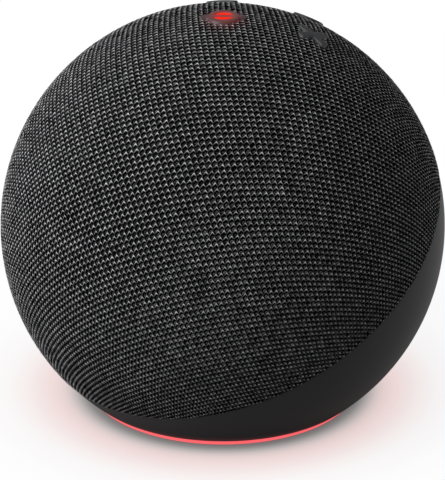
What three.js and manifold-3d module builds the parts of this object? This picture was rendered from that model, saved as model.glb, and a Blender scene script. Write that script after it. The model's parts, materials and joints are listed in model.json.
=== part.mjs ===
// Smart speaker: a ball with a knit front, a plain rear shell, a light ring at its foot and four
// raised buttons on top. Millimetres, +Z up, front along -Y, origin in the middle of the underside.
import * as THREE from 'three';
import { mergeVertices } from 'three/addons/utils/BufferGeometryUtils.js';
import Module from 'manifold-3d';

const wasm = await Module();
wasm.setup();

// ---- Driving dimensions ------------------------------------------------------------------------
const clearance = 0.3; // gap between pieces that touch
const ballRadius = 50; // outside of the knit cover
const groundCut = 10; // how much of the ball the table cuts off
const splitTilt = 58.5; // split plane's normal above the horizontal, towards the front, in degrees
const splitOffset = -6.3; // split plane from the ball's centre, along its normal
const shellSegments = 32; // facets around the shells
const arcSteps = 10; // facets from pole to rim outside
const innerArcSteps = 6; // and on the hidden inner faces

const knitThickness = 0.5;
const grilleWall = 1.8;
const rearInset = 0.1; // rear shell's surface below the knit's
const rearWall = 2.4;
const lipHeight = 2.2; // rear shell's lip above the split
const lipRoot = 4; // and below it, where it joins the wall
const lipWall = 1.5;

const buttonTilt = 16.1; // button cluster's axis, leant back from the vertical, in degrees
const buttonReach = 14.2; // cluster's axis to each button's
const buttonRadius = 6;
const buttonTravel = 0.35;
const buttonRoof = 1.6; // button's top wall
const buttonSkirt = 1.2; // button's side wall
const flangeRadius = 7.3; // collar that keeps the button in
const flangeHeight = 1;
const sleeveWall = 1.5;
const sleeveDepth = 8.2; // lower end of the button sleeves, below the ball's skin
const glyphProud = 0.6; // raised signs above the knit
const glyphLength = 8.8; // arms of the plus and the minus
const glyphWidth = 1.9;
const glyphCorner = 0.45;
const dotRadius = 3.6;
const muteRingRadius = 3.95;
const lensRadius = 2.14; // lit disc inside the mute ring
const slashLength = 10.5;
const slashWidth = 0.85;
const lensGap = 0.15; // between the lens and the ring around it

const buttonBoardRadius = 21.5;
const buttonBoardDepth = 13.4; // board's top below the ball's skin
const boardThickness = 1.2;
const boardPostReach = 18.5;
const boardPostRadius = 2.3;
const boardScrewBite = 4;
const switchSide = 6;
const switchHeight = 2;
const plungerRadius = 1.6;
const plungerHeight = 1.1;
const plungerProud = 0.4; // plunger above the switch's case
const stemRadius = 1.2;
const muteStemOffset = 3.5; // mute stem beside the light guide, towards the front
const ledSide = 2;
const ledHeight = 0.8;

const driverMargin = 1.2; // flange's edge to the inside of the grille shell
const driverFlangeInset = 0.4; // flange's edge inside the speaker box's
const driverFlangeThickness = 1.2;
const driverRimWidth = 7.2; // speaker box's edge to the surround
const surroundWidth = 3.9;
const surroundThickness = 0.4;
const gasketThickness = 0.8;
const seatGap = 0.6; // surround to the ring inside the grille shell that the driver seats on
const seatWall = 1.7;
const coneDepth = 8.2;
const coneThickness = 0.5;
const capRise = 2.6; // dust cap's height
const formerRadius = 8;
const formerWall = 0.4;
const formerLength = 15.5;
const windingThickness = 0.5;
const windingLength = 5;
const poleRadius = 7;
const topPlateThickness = 3;
const topPlateRadius = 15;
const magnetThickness = 5;
const magnetRadius = 16;
const magnetInset = 0.7; // magnet's bore wider than the top plate's
const yokeThickness = 3;
const yokeRadius = 15.5;
const airGap = 0.4; // winding to top plate
const basketDepth = 17.2; // flange's rear face to the top plate's seat
const basketWall = 1.2;
const basketWindows = 4;
const basketWindowWidth = 12;
const basketWindowMargin = 2.8; // solid rim below and above each window
const spiderThickness = 0.4;
const spiderWaveHeight = 0.7;
const spiderDrop = 4; // below the cone's neck
const driverScrews = 4;
const driverScrewBite = 5;
const boxFloorGap = 2.3; // main board to the speaker box
const boxHeadroom = 5.65; // speaker box to the button board
const boxWall = 1.6;
const boxStraight = 25.5; // straight part of the box behind its rim
const boxDome = 22; // and its domed back
const boxBossRadius = 2.6;
const boxBossDepth = 9;

const grilleHoleRadius = 1.8;
const grillePitch = 5.4;
const grilleRings = 3; // rings of holes around the middle one

const footThickness = 0.5;
const footInset = 0.55; // foot's edge inside the light ring's
const footBevel = 0.25;
const seam = 0.15; // fine joint between foot, ring and shell
const ringHeight = 0.95; // lit band that shows
const ringTaper = 0.35;
const ringUpstandGap = 1.25; // upstand to the edge of the rear shell's mouth
const ringUpstandWall = 1.6;
const ringUpstandTop = 4.5;
const basePlateThickness = 2;
const baseRibHeight = 0.9;
const baseRibWall = 0.8;
const baseScrewInset = 3.8; // from the base plate's edge
const baseScrews = 4;
const baseScrewLength = 4.5;
const baseBossRadius = 2.8;
const webBottom = 7.2; // floor inside the rear shell
const webThickness = 1.6;
const webMargin = 2.5; // web's inner edge inside the base screws
const ledBoardGap = 1.9; // LED board's edge to the rear shell
const ledBoardWidth = 6;
const ledBoardThickness = 1;
const ringLeds = 12;
const ledPegInset = 1.5;
const ledPegRadius = 0.8;
const ledPegs = 3;

const mainBoardGap = 6.5; // main board's edge to the rear shell
const mainBossHeight = 1.6;
const mainBossRadius = 2.6;
const mainScrewInset = 3;
const mainScrews = 3;
const mainScrewBite = 2.5; // length of the screw below the board
const jackWidth = 9;
const jackLength = 13;
const jackHeight = 10;
const pocketDepth = 6.55; // shell's skin to the nose of the jack
const jackNoseLength = 1.5; // round nose that stands in the shell's pocket
const jackBore = 2.9;
const jackBoreDepth = 9.5;
const jackPin = 0.8;
const pocketRadius = 4.6; // cup around the plug
const pocketWall = 2;
const canSize = [20, 16, 2.2];
const canCentre = [-6, 10];
const spreaderSize = [20, 14, 1.4];
const ribbonWidth = 5;
const ribbonThickness = 0.4;
const ribbonCentre = 7.7;
const connectorHeight = 1.6;
const connectorDepth = 3;
const plugInset = 8; // ribbon's plugs from the button board's edge and from the shield can
const leadRadius = 0.8;
const leadPlug = [6, 3.4, 3];
const leadPlugCentre = [-20, 12];
const leadBend = 4; // how far the lead stands out before it turns
const leadDrop = 12;
const leadSpacing = 3; // from the box's axis
const ribbonBend = 4;
const ribbonStandoff = 1; // back run of the ribbon behind the main board
const ribbonRunTop = 10; // above the ball's centre
const ribbonRunBottom = 8; // and below it
const headerSize = [8, 2.4];
const headerInset = 4; // from the LED board's edge
const headerMargin = 1;
const chipReach = 20;
const chipThickness = 1;
const chipSides = [5, 4, 6];
const chipPlaces = [-12, 27, 195]; // in degrees round the main board

const screwHeadHeight = 1.3;
const screwHeadRadius = 1.8;
const screwShankRadius = 0.9;
const screwSocketRadius = 0.9;
const screwSocketDepth = 0.7;
const embed = 0.1; // overlap of pieces that are one with their neighbour
const pilotRadius = 1.05;

// ---- Sizes that follow -------------------------------------------------------------------------
const grilleRadius = ballRadius - knitThickness - clearance;
const grilleInner = grilleRadius - grilleWall;
const rearRadius = ballRadius - rearInset;
const rearInner = rearRadius - rearWall;
const glyphRadius = ballRadius + glyphProud;
const ballHeight = ballRadius - groundCut; // ball's centre above the table
const degree = Math.PI / 180;
const sleeveEnd = ballRadius - sleeveDepth; // along the cluster's axis, as the next two are
const buttonBoardTop = ballRadius - buttonBoardDepth;
const buttonBoardBottom = buttonBoardTop - boardThickness;

// Levels in the base, upwards from the table, and the ball's radius at a level
const ringBottom = footThickness + seam;
const ringTop = ringBottom + ringHeight;
const shellBottom = ringTop + seam;
const baseTop = ringBottom + basePlateThickness;
const webTop = webBottom + webThickness;
const ledBoardTop = webBottom - 2 * clearance;
const ledBoardBottom = ledBoardTop - ledBoardThickness;
const mainBoardBottom = webTop + mainBossHeight + clearance;
const mainBoardTop = mainBoardBottom + boardThickness;
const jackBottom = mainBoardTop + clearance;
const jackAxis = jackBottom + jackHeight / 2;
const radiusAt = (radius, level) => Math.sqrt(radius ** 2 - (ballHeight - level) ** 2);
const ringOuter = radiusAt(rearRadius, ringTop);
const footRadius = ringOuter - ringTaper - footInset;
const upstandOuter = radiusAt(rearInner, shellBottom) - ringUpstandGap;
const upstandInner = upstandOuter - ringUpstandWall;
const baseRadius = upstandInner - clearance;
const baseScrewReach = baseRadius - baseScrewInset;
const webInner = baseScrewReach - webMargin;
const ledBoardOuter = radiusAt(rearInner, ledBoardBottom) - ledBoardGap;
const mainBoardRadius = radiusAt(rearInner, mainBoardBottom) - mainBoardGap;
const jackFront = radiusAt(rearRadius, jackAxis) - pocketDepth; // behind the ball's centre

// The speaker box fills the height between the two boards, and the driver fits its rim
const buttonBoardLevel = ballHeight + buttonBoardBottom / Math.cos(buttonTilt * degree);
const boxLow = mainBoardTop + boxFloorGap;
const boxRadius = (buttonBoardLevel - boxHeadroom - boxLow) / 2;
const driverRise = boxLow + boxRadius - ballHeight; // driver's axis above the ball's centre
const driverFlangeRadius = boxRadius - driverFlangeInset;
const driverFlangeFront = Math.sqrt(
  (grilleInner - driverMargin) ** 2 - (driverFlangeRadius + driverRise) ** 2,
);
const driverScrewReach = boxRadius - boxBossRadius;
const surroundOuter = boxRadius - driverRimWidth;
const surroundInner = surroundOuter - surroundWidth;
const seatInner = surroundOuter + seatGap;

// Frames: each has its own Z axis through the ball's centre
const frameAt = (turnX, rise = 0) => new THREE.Matrix4()
  .makeTranslation(0, 0, ballHeight + rise)
  .multiply(new THREE.Matrix4().makeRotationX(turnX * degree));
const splitFrame = frameAt(90 - splitTilt);
const buttonFrame = frameAt(-buttonTilt);
const driverFrame = frameAt(90, driverRise);

// ---- Shapes ------------------------------------------------------------------------------------
const bare = (geometry) => {
  const copy = geometry.clone();
  copy.deleteAttribute('normal');
  copy.deleteAttribute('uv');
  return mergeVertices(copy, 1e-4);
};

const signedVolume = (points, corners) => {
  const a = new THREE.Vector3();
  const b = new THREE.Vector3();
  const c = new THREE.Vector3();
  let total = 0;
  for (let i = 0; i < corners.length; i += 3) {
    a.fromArray(points, 3 * corners[i]);
    b.fromArray(points, 3 * corners[i + 1]);
    c.fromArray(points, 3 * corners[i + 2]);
    total += a.dot(b.cross(c)) / 6;
  }
  return total;
};

// A closed three.js geometry as a solid, with its faces turned outwards
const solid = (geometry, frame = null) => {
  const merged = bare(geometry);
  if (frame) merged.applyMatrix4(frame);
  const points = new Float32Array(merged.attributes.position.array);
  const index = merged.index.array;
  const corners = [];
  for (let i = 0; i < index.length; i += 3) {
    const [p, q, r] = [index[i], index[i + 1], index[i + 2]];
    if (p !== q && q !== r && r !== p) corners.push(p, q, r);
  }
  if (signedVolume(points, corners) < 0) corners.reverse();
  const mesh = { numProp: 3, vertProperties: points, triVerts: new Uint32Array(corners) };
  return new wasm.Manifold(new wasm.Mesh(mesh));
};

const geometryOf = (body) => {
  const mesh = body.getMesh();
  const geometry = new THREE.BufferGeometry();
  geometry.setAttribute('position', new THREE.BufferAttribute(mesh.vertProperties, 3));
  geometry.setIndex(new THREE.BufferAttribute(mesh.triVerts, 1));
  geometry.computeVertexNormals();
  return geometry;
};

const joined = (bodies) => bodies.reduce((sum, body) => sum.add(body));
const cutAll = (body, tools) => tools.reduce((rest, tool) => rest.subtract(tool), body);

// Round bar along Z
const rod = (radius, low, high, at = [0, 0], sides = 12) => new THREE
  .CylinderGeometry(radius, radius, high - low, sides)
  .rotateX(Math.PI / 2)
  .translate(at[0], at[1], (low + high) / 2);

const block = (size, low, at = [0, 0]) => new THREE
  .BoxGeometry(size[0], size[1], size[2])
  .translate(at[0], at[1], low + size[2] / 2);

// Profile of [radius, height] points turned about Z; closed by itself unless it meets the axis
const turned = (profile, segments = 24) => {
  const points = profile.map(([radius, height]) => new THREE.Vector2(radius, height));
  const onAxis = profile[0][0] === 0 && profile[profile.length - 1][0] === 0;
  if (!onAxis) points.push(points[0].clone());
  return new THREE.LatheGeometry(points, segments).rotateX(Math.PI / 2);
};

const tube = (inner, outer, low, high, segments = 24) => turned([
  [outer, low],
  [outer, high],
  [inner, high],
  [inner, low],
], segments);

// Points on a circle about the centre, by the angle from +Z
const arc = (radius, from, to, steps) => Array.from({ length: steps + 1 }, (_, i) => {
  const angle = from + (to - from) * i / steps;
  const onAxis = i === 0 && from === 0 || i === steps && to === 0 || i === steps && to === Math.PI
    || i === 0 && from === Math.PI;
  return [onAxis ? 0 : radius * Math.sin(angle), radius * Math.cos(angle)];
});

const ball = (radius) => new THREE.SphereGeometry(radius, shellSegments, shellSegments / 2)
  .rotateX(Math.PI / 2);
const prism = (shape, low, high) => new THREE
  .ExtrudeGeometry(shape, { depth: high - low, bevelEnabled: false, curveSegments: 3 })
  .translate(0, 0, low);

const aroundAxis = (count, reach, start = 0) => Array.from({ length: count }, (_, i) => {
  const angle = (start + 360 * i / count) * degree;
  return [reach * Math.cos(angle), reach * Math.sin(angle)];
});

const barShape = (length, width, corner, turn = 0) => {
  const shape = new THREE.Shape();
  const right = length / 2 - corner;
  const top = width / 2 - corner;
  shape.absarc(right, top, corner, 0, Math.PI / 2);
  shape.absarc(-right, top, corner, Math.PI / 2, Math.PI);
  shape.absarc(-right, -top, corner, Math.PI, 1.5 * Math.PI);
  shape.absarc(right, -top, corner, 1.5 * Math.PI, 2 * Math.PI);
  return new THREE.Shape(shape.getPoints(1).map((p) => p.rotateAround(new THREE.Vector2(), turn)));
};

// ---- Scene graph -------------------------------------------------------------------------------
const finish = (color, roughness, metalness = 0) => new THREE.MeshStandardMaterial({
  color,
  roughness,
  metalness,
});
const finishes = {
  knit: finish(0x1b1b1d, 0.95),
  shell: finish(0x232426, 0.55),
  grille: finish(0x161617, 0.7),
  glyph: finish(0x3a3b3f, 0.5),
  light: finish(0xff5a60, 0.35),
  rubber: finish(0x141414, 0.9),
  board: finish(0x16324a, 0.5),
  steel: finish(0x9a9ca0, 0.35, 1),
  zinc: finish(0xb9bbbe, 0.45, 1),
  ferrite: finish(0x2b2b2e, 0.7, 0.3),
  copper: finish(0xb06a3a, 0.35, 1),
  paper: finish(0x1d1d1f, 0.85),
  cloth: finish(0x8c7a4a, 0.9),
  plastic: finish(0x101011, 0.6),
  whitePlastic: finish(0xd9d9d4, 0.5),
  ribbon: finish(0xc77a2c, 0.5),
  wire: finish(0x7a1414, 0.6),
};

const speaker = new THREE.Group();
const framed = (frame) => {
  const group = new THREE.Group();
  group.applyMatrix4(frame);
  speaker.add(group);
  return group;
};
const splitGroup = framed(splitFrame);
const buttonGroup = framed(buttonFrame);
const driverGroup = framed(driverFrame);

const piece = (parent, name, shape, material) => {
  const body = shape.isBufferGeometry ? solid(shape) : shape;
  const mesh = new THREE.Mesh(geometryOf(body), material);
  mesh.name = name;
  parent.add(mesh);
  return mesh;
};

// Pan-head screw with its head's seat at z = 0, the shank down and a hex socket in the head
const screwSolid = (length) => solid(rod(screwHeadRadius, 0, screwHeadHeight, [0, 0], 10))
  .add(solid(rod(screwShankRadius, -length, screwHeadHeight / 2, [0, 0], 6)))
  .subtract(solid(rod(
    screwSocketRadius,
    screwHeadHeight - screwSocketDepth,
    screwHeadHeight + 1,
    [0, 0],
    6,
  )));

const placeScrews = (parent, stem, places, seat, length, headDown = false) => {
  const body = screwSolid(length);
  places.forEach(([x, y], i) => {
    const screw = piece(parent, `${stem}_${i + 1}`, body, finishes.steel);
    screw.position.set(x, y, seat);
    if (headDown) screw.rotation.x = Math.PI;
  });
};

// ---- Buttons -----------------------------------------------------------------------------------
const buttons = [
  { name: 'mute', at: [0, -buttonReach], stem: [0, -muteStemOffset] },
  { name: 'volume_up', at: [buttonReach, 0], stem: [0, 0] },
  { name: 'volume_down', at: [-buttonReach, 0], stem: [0, 0] },
  { name: 'action', at: [0, buttonReach], stem: [0, 0] },
];
const glyphTop = glyphRadius + 1;
const flangeTop = sleeveEnd - clearance;
const flangeBottom = flangeTop - flangeHeight;
const switchBottom = buttonBoardTop + clearance;
const switchTop = switchBottom + switchHeight;
const plungerTop = switchTop + plungerProud;
const guideFoot = switchTop + buttonTravel + clearance;

// Raised sign of a button as a bar along the button's axis, grown all round for its hole in the knit
const glyphBar = (name, low, grow = 0) => {
  const bar = (length, width, turn) => solid(prism(
    barShape(length + 2 * grow, width + 2 * grow, Math.min(glyphCorner, width / 2.5) + grow, turn),
    low,
    glyphTop,
  ));
  const disc = (radius) => solid(rod(radius + grow, low, glyphTop, [0, 0], 16));
  if (name === 'mute') return disc(muteRingRadius).add(bar(slashLength, slashWidth, Math.PI / 4));
  if (name === 'action') return disc(dotRadius);
  const across = bar(glyphLength, glyphWidth, 0);
  if (name === 'volume_down') return across;
  return across.add(bar(glyphLength, glyphWidth, Math.PI / 2));
};

const atButton = (body, button) => body.translate([button.at[0], button.at[1], 0]);
const inButtonFrame = (body) => body.transform(buttonFrame.elements);

const lensHole = (button, low) => atButton(
  solid(rod(lensRadius + lensGap, low, glyphTop, [0, 0], 16)),
  button,
);
const slashBar = (button, low, grow = 0) => atButton(solid(prism(
  barShape(slashLength + 2 * grow, slashWidth + 2 * grow, slashWidth / 2.5, Math.PI / 4),
  low,
  glyphTop,
)), button);

const buttonSolid = (button) => {
  const cap = atButton(solid(rod(buttonRadius, flangeBottom, glyphTop, [0, 0], 20)), button)
    .intersect(solid(ball(grilleRadius - clearance / 3)));
  const flange = atButton(solid(rod(flangeRadius, flangeBottom, flangeTop, [0, 0], 20)), button);
  const hollow = atButton(
    solid(rod(buttonRadius - buttonSkirt, flangeBottom - 1, glyphTop, [0, 0], 12)),
    button,
  ).intersect(solid(ball(grilleRadius - buttonRoof)));
  const sign = atButton(glyphBar(button.name, sleeveEnd), button)
    .intersect(solid(ball(glyphRadius)))
    .subtract(solid(ball(grilleRadius - buttonRoof / 2)));
  const stemBar = atButton(
    solid(rod(stemRadius, plungerTop + clearance, glyphTop, button.stem, 12)),
    button,
  ).intersect(solid(ball(grilleRadius - buttonRoof / 2)));
  const body = cap.add(flange).subtract(hollow).add(sign).add(stemBar);
  if (button.name !== 'mute') return body;
  const bridge = slashBar(button, sleeveEnd)
    .intersect(solid(ball(glyphRadius)))
    .subtract(solid(ball(grilleRadius - buttonRoof / 2)));
  return body.subtract(lensHole(button, flangeBottom)).add(bridge);
};

const guideSolid = (button) => {
  const slot = slashBar(button, sleeveEnd, lensGap)
    .subtract(solid(ball(grilleRadius - buttonRoof / 2 - lensGap)));
  return atButton(solid(rod(lensRadius, guideFoot, glyphTop, [0, 0], 16)), button)
    .intersect(solid(ball(glyphRadius)))
    .subtract(slot);
};

const switchSolid = (button) => {
  const x = button.at[0] + button.stem[0];
  const y = button.at[1] + button.stem[1];
  const well = rod(
    plungerRadius + clearance,
    plungerTop - plungerHeight - 2 * clearance,
    switchTop + 1,
    [x, y],
  );
  return solid(block([switchSide, switchSide, switchHeight], switchBottom, [x, y]))
    .subtract(solid(well));
};

for (const button of buttons) {
  piece(buttonGroup, `${button.name}_button`, buttonSolid(button), finishes.glyph);
  const at = [button.at[0] + button.stem[0], button.at[1] + button.stem[1]];
  piece(buttonGroup, `${button.name}_switch`, switchSolid(button), finishes.plastic);
  const plunger = rod(plungerRadius, plungerTop - plungerHeight, plungerTop, at);
  piece(buttonGroup, `${button.name}_plunger`, plunger, finishes.whitePlastic);
}
piece(buttonGroup, 'mute_light_guide', guideSolid(buttons[0]), finishes.light);

// Board under the buttons, on posts of the grille shell
const boardPosts = aroundAxis(4, boardPostReach, 45);
const ribbonPlug = [ribbonWidth + 1, connectorDepth, connectorHeight];
const buttonPlugAt = [ribbonCentre, buttonBoardRadius - plugInset];
const buttonBoard = cutAll(
  joined([
    solid(rod(buttonBoardRadius, buttonBoardBottom, buttonBoardTop, [0, 0], 40)),
    solid(block(ribbonPlug, buttonBoardBottom - connectorHeight + embed, buttonPlugAt)),
  ]),
  boardPosts.map((at) => solid(rod(pilotRadius, buttonBoardBottom - 1, buttonBoardTop + 1, at, 8))),
);
piece(buttonGroup, 'button_board', buttonBoard, finishes.board);
placeScrews(
  buttonGroup,
  'button_board_screw',
  boardPosts,
  buttonBoardBottom - clearance,
  boardThickness + boardScrewBite,
  true,
);
const muteLedAt = [0, -buttonReach];
piece(
  buttonGroup,
  'mute_led',
  block([ledSide, ledSide, ledHeight], buttonBoardTop + clearance, [muteLedAt[0], muteLedAt[1] + 1]),
  finishes.whitePlastic,
);
const microphoneSize = [3.5, 2.7, 1];
const microphones = aroundAxis(2, 9, 45);
['right', 'left'].forEach((side, i) => piece(
  buttonGroup,
  `microphone_${side}`,
  block(microphoneSize, buttonBoardTop + clearance, microphones[i]),
  finishes.zinc,
));

// ---- Knit cover and grille shell ---------------------------------------------------------------
const polarAngle = (radius, height) => Math.acos(height / radius);
const hemTop = splitOffset + knitThickness;
const rimOfGrille = hemTop + clearance;
const hemInner = Math.sqrt(grilleInner ** 2 - rimOfGrille ** 2) + clearance;
const knitInner = ballRadius - knitThickness;
const knitProfile = [
  ...arc(ballRadius, 0, polarAngle(ballRadius, splitOffset), arcSteps),
  [hemInner, splitOffset],
  [hemInner, hemTop],
  ...arc(knitInner, polarAngle(knitInner, hemTop), 0, arcSteps),
];
const knitSigns = joined(buttons.map((button) => atButton(
  glyphBar(button.name, sleeveEnd, clearance),
  button,
)));
const knitCover = solid(turned(knitProfile, shellSegments), splitFrame)
  .subtract(inButtonFrame(knitSigns));
piece(speaker, 'knit_cover', knitCover, finishes.knit);

const grilleProfile = [
  ...arc(grilleRadius, 0, polarAngle(grilleRadius, rimOfGrille), arcSteps),
  ...arc(grilleInner, polarAngle(grilleInner, rimOfGrille), 0, innerArcSteps),
];
const sleeveRadius = buttonRadius + clearance;
const sleeves = joined(buttons.map((button) => atButton(
  solid(rod(sleeveRadius + sleeveWall, sleeveEnd, glyphTop, [0, 0], 20)),
  button,
)));
const posts = joined(boardPosts.map((at) => solid(
  rod(boardPostRadius, buttonBoardTop + clearance, glyphTop, at, 12),
)));
const withinGrille = solid(ball(grilleRadius - grilleWall / 2));
const surroundSeat = driverFlangeFront + clearance;
const gasketLow = surroundSeat + surroundThickness + clearance;
const seatLow = gasketLow + gasketThickness + clearance;
const driverSeat = solid(tube(seatInner, seatInner + seatWall, seatLow, ballRadius));

// Hexagonal field of sound holes about the driver's axis
const hexField = (rings, pitch) => {
  const places = [];
  for (let i = -rings; i <= rings; i += 1) {
    for (let j = -rings; j <= rings; j += 1) {
      const inside = Math.abs(i + j) <= rings;
      if (inside) places.push([pitch * (i + j / 2), pitch * j * Math.sqrt(3) / 2]);
    }
  }
  return places;
};
const soundHoles = hexField(grilleRings, grillePitch)
  .map((at) => solid(rod(grilleHoleRadius, seatLow, ballRadius + 1, at, 8)));

const innerFittings = inButtonFrame(sleeves.add(posts).intersect(withinGrille))
  .add(driverSeat.transform(driverFrame.elements).intersect(
    withinGrille.transform(splitFrame.elements),
  ));
const buttonBores = joined(buttons.map((button) => atButton(
  solid(rod(sleeveRadius, sleeveEnd - 1, glyphTop, [0, 0], 20)),
  button,
)));
const postPilots = joined(boardPosts.map((at) => solid(
  rod(pilotRadius, buttonBoardTop, buttonBoardTop + boardScrewBite + 1, at, 8),
)));
const grilleShell = cutAll(
  solid(turned(grilleProfile, shellSegments), splitFrame).add(innerFittings),
  [
    inButtonFrame(buttonBores.add(postPilots)),
    joined(soundHoles).transform(driverFrame.elements),
  ],
);
piece(speaker, 'grille_shell', grilleShell, finishes.grille);

// ---- Rear shell --------------------------------------------------------------------------------
const baseHoles = aroundAxis(baseScrews, baseScrewReach, 45);
const mainHoles = aroundAxis(mainScrews, mainBoardRadius - mainScrewInset, 0);
const pegs = aroundAxis(ledPegs, ledBoardOuter - ledPegInset, 30);

const rearRim = splitOffset - clearance;
const rearProfile = [
  ...arc(rearRadius, Math.PI, polarAngle(rearRadius, rearRim), arcSteps),
  ...arc(rearInner, polarAngle(rearInner, rearRim), Math.PI, innerArcSteps),
];
const lipOuter = Math.sqrt(grilleInner ** 2 - rimOfGrille ** 2) - clearance;
const lip = solid(
  tube(lipOuter - lipWall, lipOuter, splitOffset - lipRoot, splitOffset + lipHeight, shellSegments),
  splitFrame,
);
const webOuter = radiusAt(rearRadius, webBottom) - rearWall / 3;
const floorWeb = solid(tube(webInner, webOuter, webBottom, webTop, shellSegments));
const headerAt = [0, headerInset - ledBoardOuter];
const headerSlot = block(
  [headerSize[0] + 2 * headerMargin, headerSize[1] + 2 * headerMargin, webThickness + 2],
  webBottom - 1,
  headerAt,
);
const baseBosses = joined(baseHoles.map((at) => solid(
  rod(baseBossRadius, baseTop + clearance, webTop, at, 10),
)));
const mainBosses = joined(mainHoles.map((at) => solid(
  rod(mainBossRadius, webTop - 0.5, webTop + mainBossHeight, at, 10),
)));
const pegBosses = joined(pegs.map((at) => solid(
  rod(ledPegRadius + 0.7, ledBoardTop + clearance, webTop, at, 8),
).add(solid(rod(ledPegRadius, ledBoardBottom - clearance, webTop, at, 8)))));
const alongY = (geometry) => geometry.rotateX(-Math.PI / 2).translate(0, 0, jackAxis);
const jackShoulder = jackFront - jackNoseLength;
const pocketOuter = rod(
  pocketRadius + pocketWall,
  jackShoulder + clearance,
  ballRadius,
  [0, 0],
  28,
);
const pocket = solid(alongY(rod(pocketRadius, jackFront - jackLength, ballRadius + 1, [0, 0], 28)));
const cupHole = solid(alongY(rod(
  pocketRadius + pocketWall + clearance,
  jackShoulder,
  ballRadius + 1,
  [0, 0],
  28,
)));
const pilots = joined([
  ...baseHoles.map((at) => solid(rod(pilotRadius, baseTop - 1, webBottom, at, 8))),
  ...mainHoles.map((at) => solid(rod(pilotRadius, webBottom + 0.4, mainBoardBottom, at, 8))),
]);
const belowShell = solid(rod(2 * ballRadius, -ballRadius, shellBottom, [0, 0], 8));
const rearShell = cutAll(
  joined([
    solid(turned(rearProfile, shellSegments), splitFrame),
    lip,
    floorWeb,
    baseBosses,
    mainBosses,
    pegBosses,
  ]),
  [belowShell, cupHole, pilots, solid(headerSlot)],
);
piece(speaker, 'rear_shell', rearShell, finishes.shell);
const inletCup = solid(alongY(pocketOuter))
  .intersect(solid(ball(rearRadius)).translate([0, 0, ballHeight]))
  .subtract(pocket);
piece(speaker, 'inlet_cup', inletCup, finishes.shell);

// ---- Foot --------------------------------------------------------------------------------------
piece(speaker, 'light_ring', turned([
  [ringOuter, ringTop],
  [ringOuter - ringTaper, ringBottom],
  [upstandInner, ringBottom],
  [upstandInner, ringUpstandTop],
  [upstandOuter, ringUpstandTop],
  [upstandOuter, ringTop],
], shellSegments), finishes.light);

const countersink = screwHeadHeight + clearance;
const basePlate = cutAll(
  solid(turned([
    [0, ringBottom],
    [baseRadius, ringBottom],
    [baseRadius, baseTop + baseRibHeight],
    [baseRadius - baseRibWall, baseTop + baseRibHeight],
    [baseRadius - baseRibWall, baseTop],
    [0, baseTop],
  ], shellSegments)),
  baseHoles.map((at) => solid(rod(screwHeadRadius + clearance, 0, ringBottom + countersink, at, 10))
    .add(solid(rod(pilotRadius, 0, baseTop + 1, at, 8)))),
);
piece(speaker, 'base_plate', basePlate, finishes.plastic);
placeScrews(speaker, 'base_screw', baseHoles, ringBottom + countersink, baseScrewLength, true);

piece(speaker, 'rubber_foot', turned([
  [0, 0],
  [footRadius - footBevel, 0],
  [footRadius, footBevel],
  [footRadius, footThickness],
  [0, footThickness],
], shellSegments), finishes.rubber);

// ---- Boards in the base ------------------------------------------------------------------------
const ledBoard = cutAll(
  joined([
    solid(tube(
      ledBoardOuter - ledBoardWidth,
      ledBoardOuter,
      ledBoardBottom,
      ledBoardTop,
      shellSegments,
    )),
    ...aroundAxis(ringLeds, upstandOuter - ringUpstandWall / 2, 15).map((at) => solid(
      block([ledSide, ledSide, ledHeight + embed], ledBoardBottom - ledHeight, at),
    )),
  ]),
  pegs.map((at) => solid(rod(ledPegRadius + clearance, 0, webBottom, at, 8))),
);
piece(speaker, 'led_board', ledBoard, finishes.board);
piece(
  speaker,
  'led_header',
  block(
    [...headerSize, mainBoardBottom - ledBoardTop - 2 * clearance],
    ledBoardTop + clearance,
    headerAt,
  ),
  finishes.plastic,
);

const mainPlugAt = [ribbonCentre, canCentre[1] + canSize[1] / 2 + connectorDepth / 2];
const chips = chipPlaces.map((angle, i) => ({
  size: [chipSides[i], chipSides[i], chipThickness],
  at: aroundAxis(1, chipReach, angle)[0],
}));
const onMainBoard = ({ size, at }) => solid(block(
  [size[0], size[1], size[2] + embed],
  mainBoardTop - embed,
  at,
));
const mainBoard = cutAll(
  joined([
    solid(rod(mainBoardRadius, mainBoardBottom, mainBoardTop, [0, 0], shellSegments)),
    onMainBoard({ size: ribbonPlug, at: mainPlugAt }),
    onMainBoard({ size: leadPlug, at: leadPlugCentre }),
    ...chips.map(onMainBoard),
  ]),
  mainHoles.map((at) => solid(rod(pilotRadius, mainBoardBottom - 1, mainBoardTop + 1, at, 8))),
);
piece(speaker, 'main_board', mainBoard, finishes.board);
placeScrews(
  speaker,
  'main_board_screw',
  mainHoles,
  mainBoardTop + clearance,
  boardThickness + mainScrewBite,
);

const canBottom = mainBoardTop + clearance;
piece(speaker, 'shield_can', block(canSize, canBottom, canCentre), finishes.zinc);
piece(
  speaker,
  'heat_spreader',
  block(spreaderSize, canBottom + canSize[2] + clearance, canCentre),
  finishes.zinc,
);

const jackCentre = [0, jackShoulder - jackLength / 2];
const jackNose = rod(pocketRadius - clearance, jackShoulder - embed, jackFront, [0, 0], 28);
const powerJack = solid(block([jackWidth, jackLength, jackHeight], jackBottom, jackCentre))
  .add(solid(alongY(jackNose)))
  .subtract(solid(alongY(rod(jackBore, jackFront - jackBoreDepth, ballRadius, [0, 0], 20))))
  .add(solid(alongY(rod(jackPin, jackFront - jackBoreDepth - 1, jackFront - 1, [0, 0], 10))));
piece(speaker, 'power_jack', powerJack, finishes.plastic);

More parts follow.
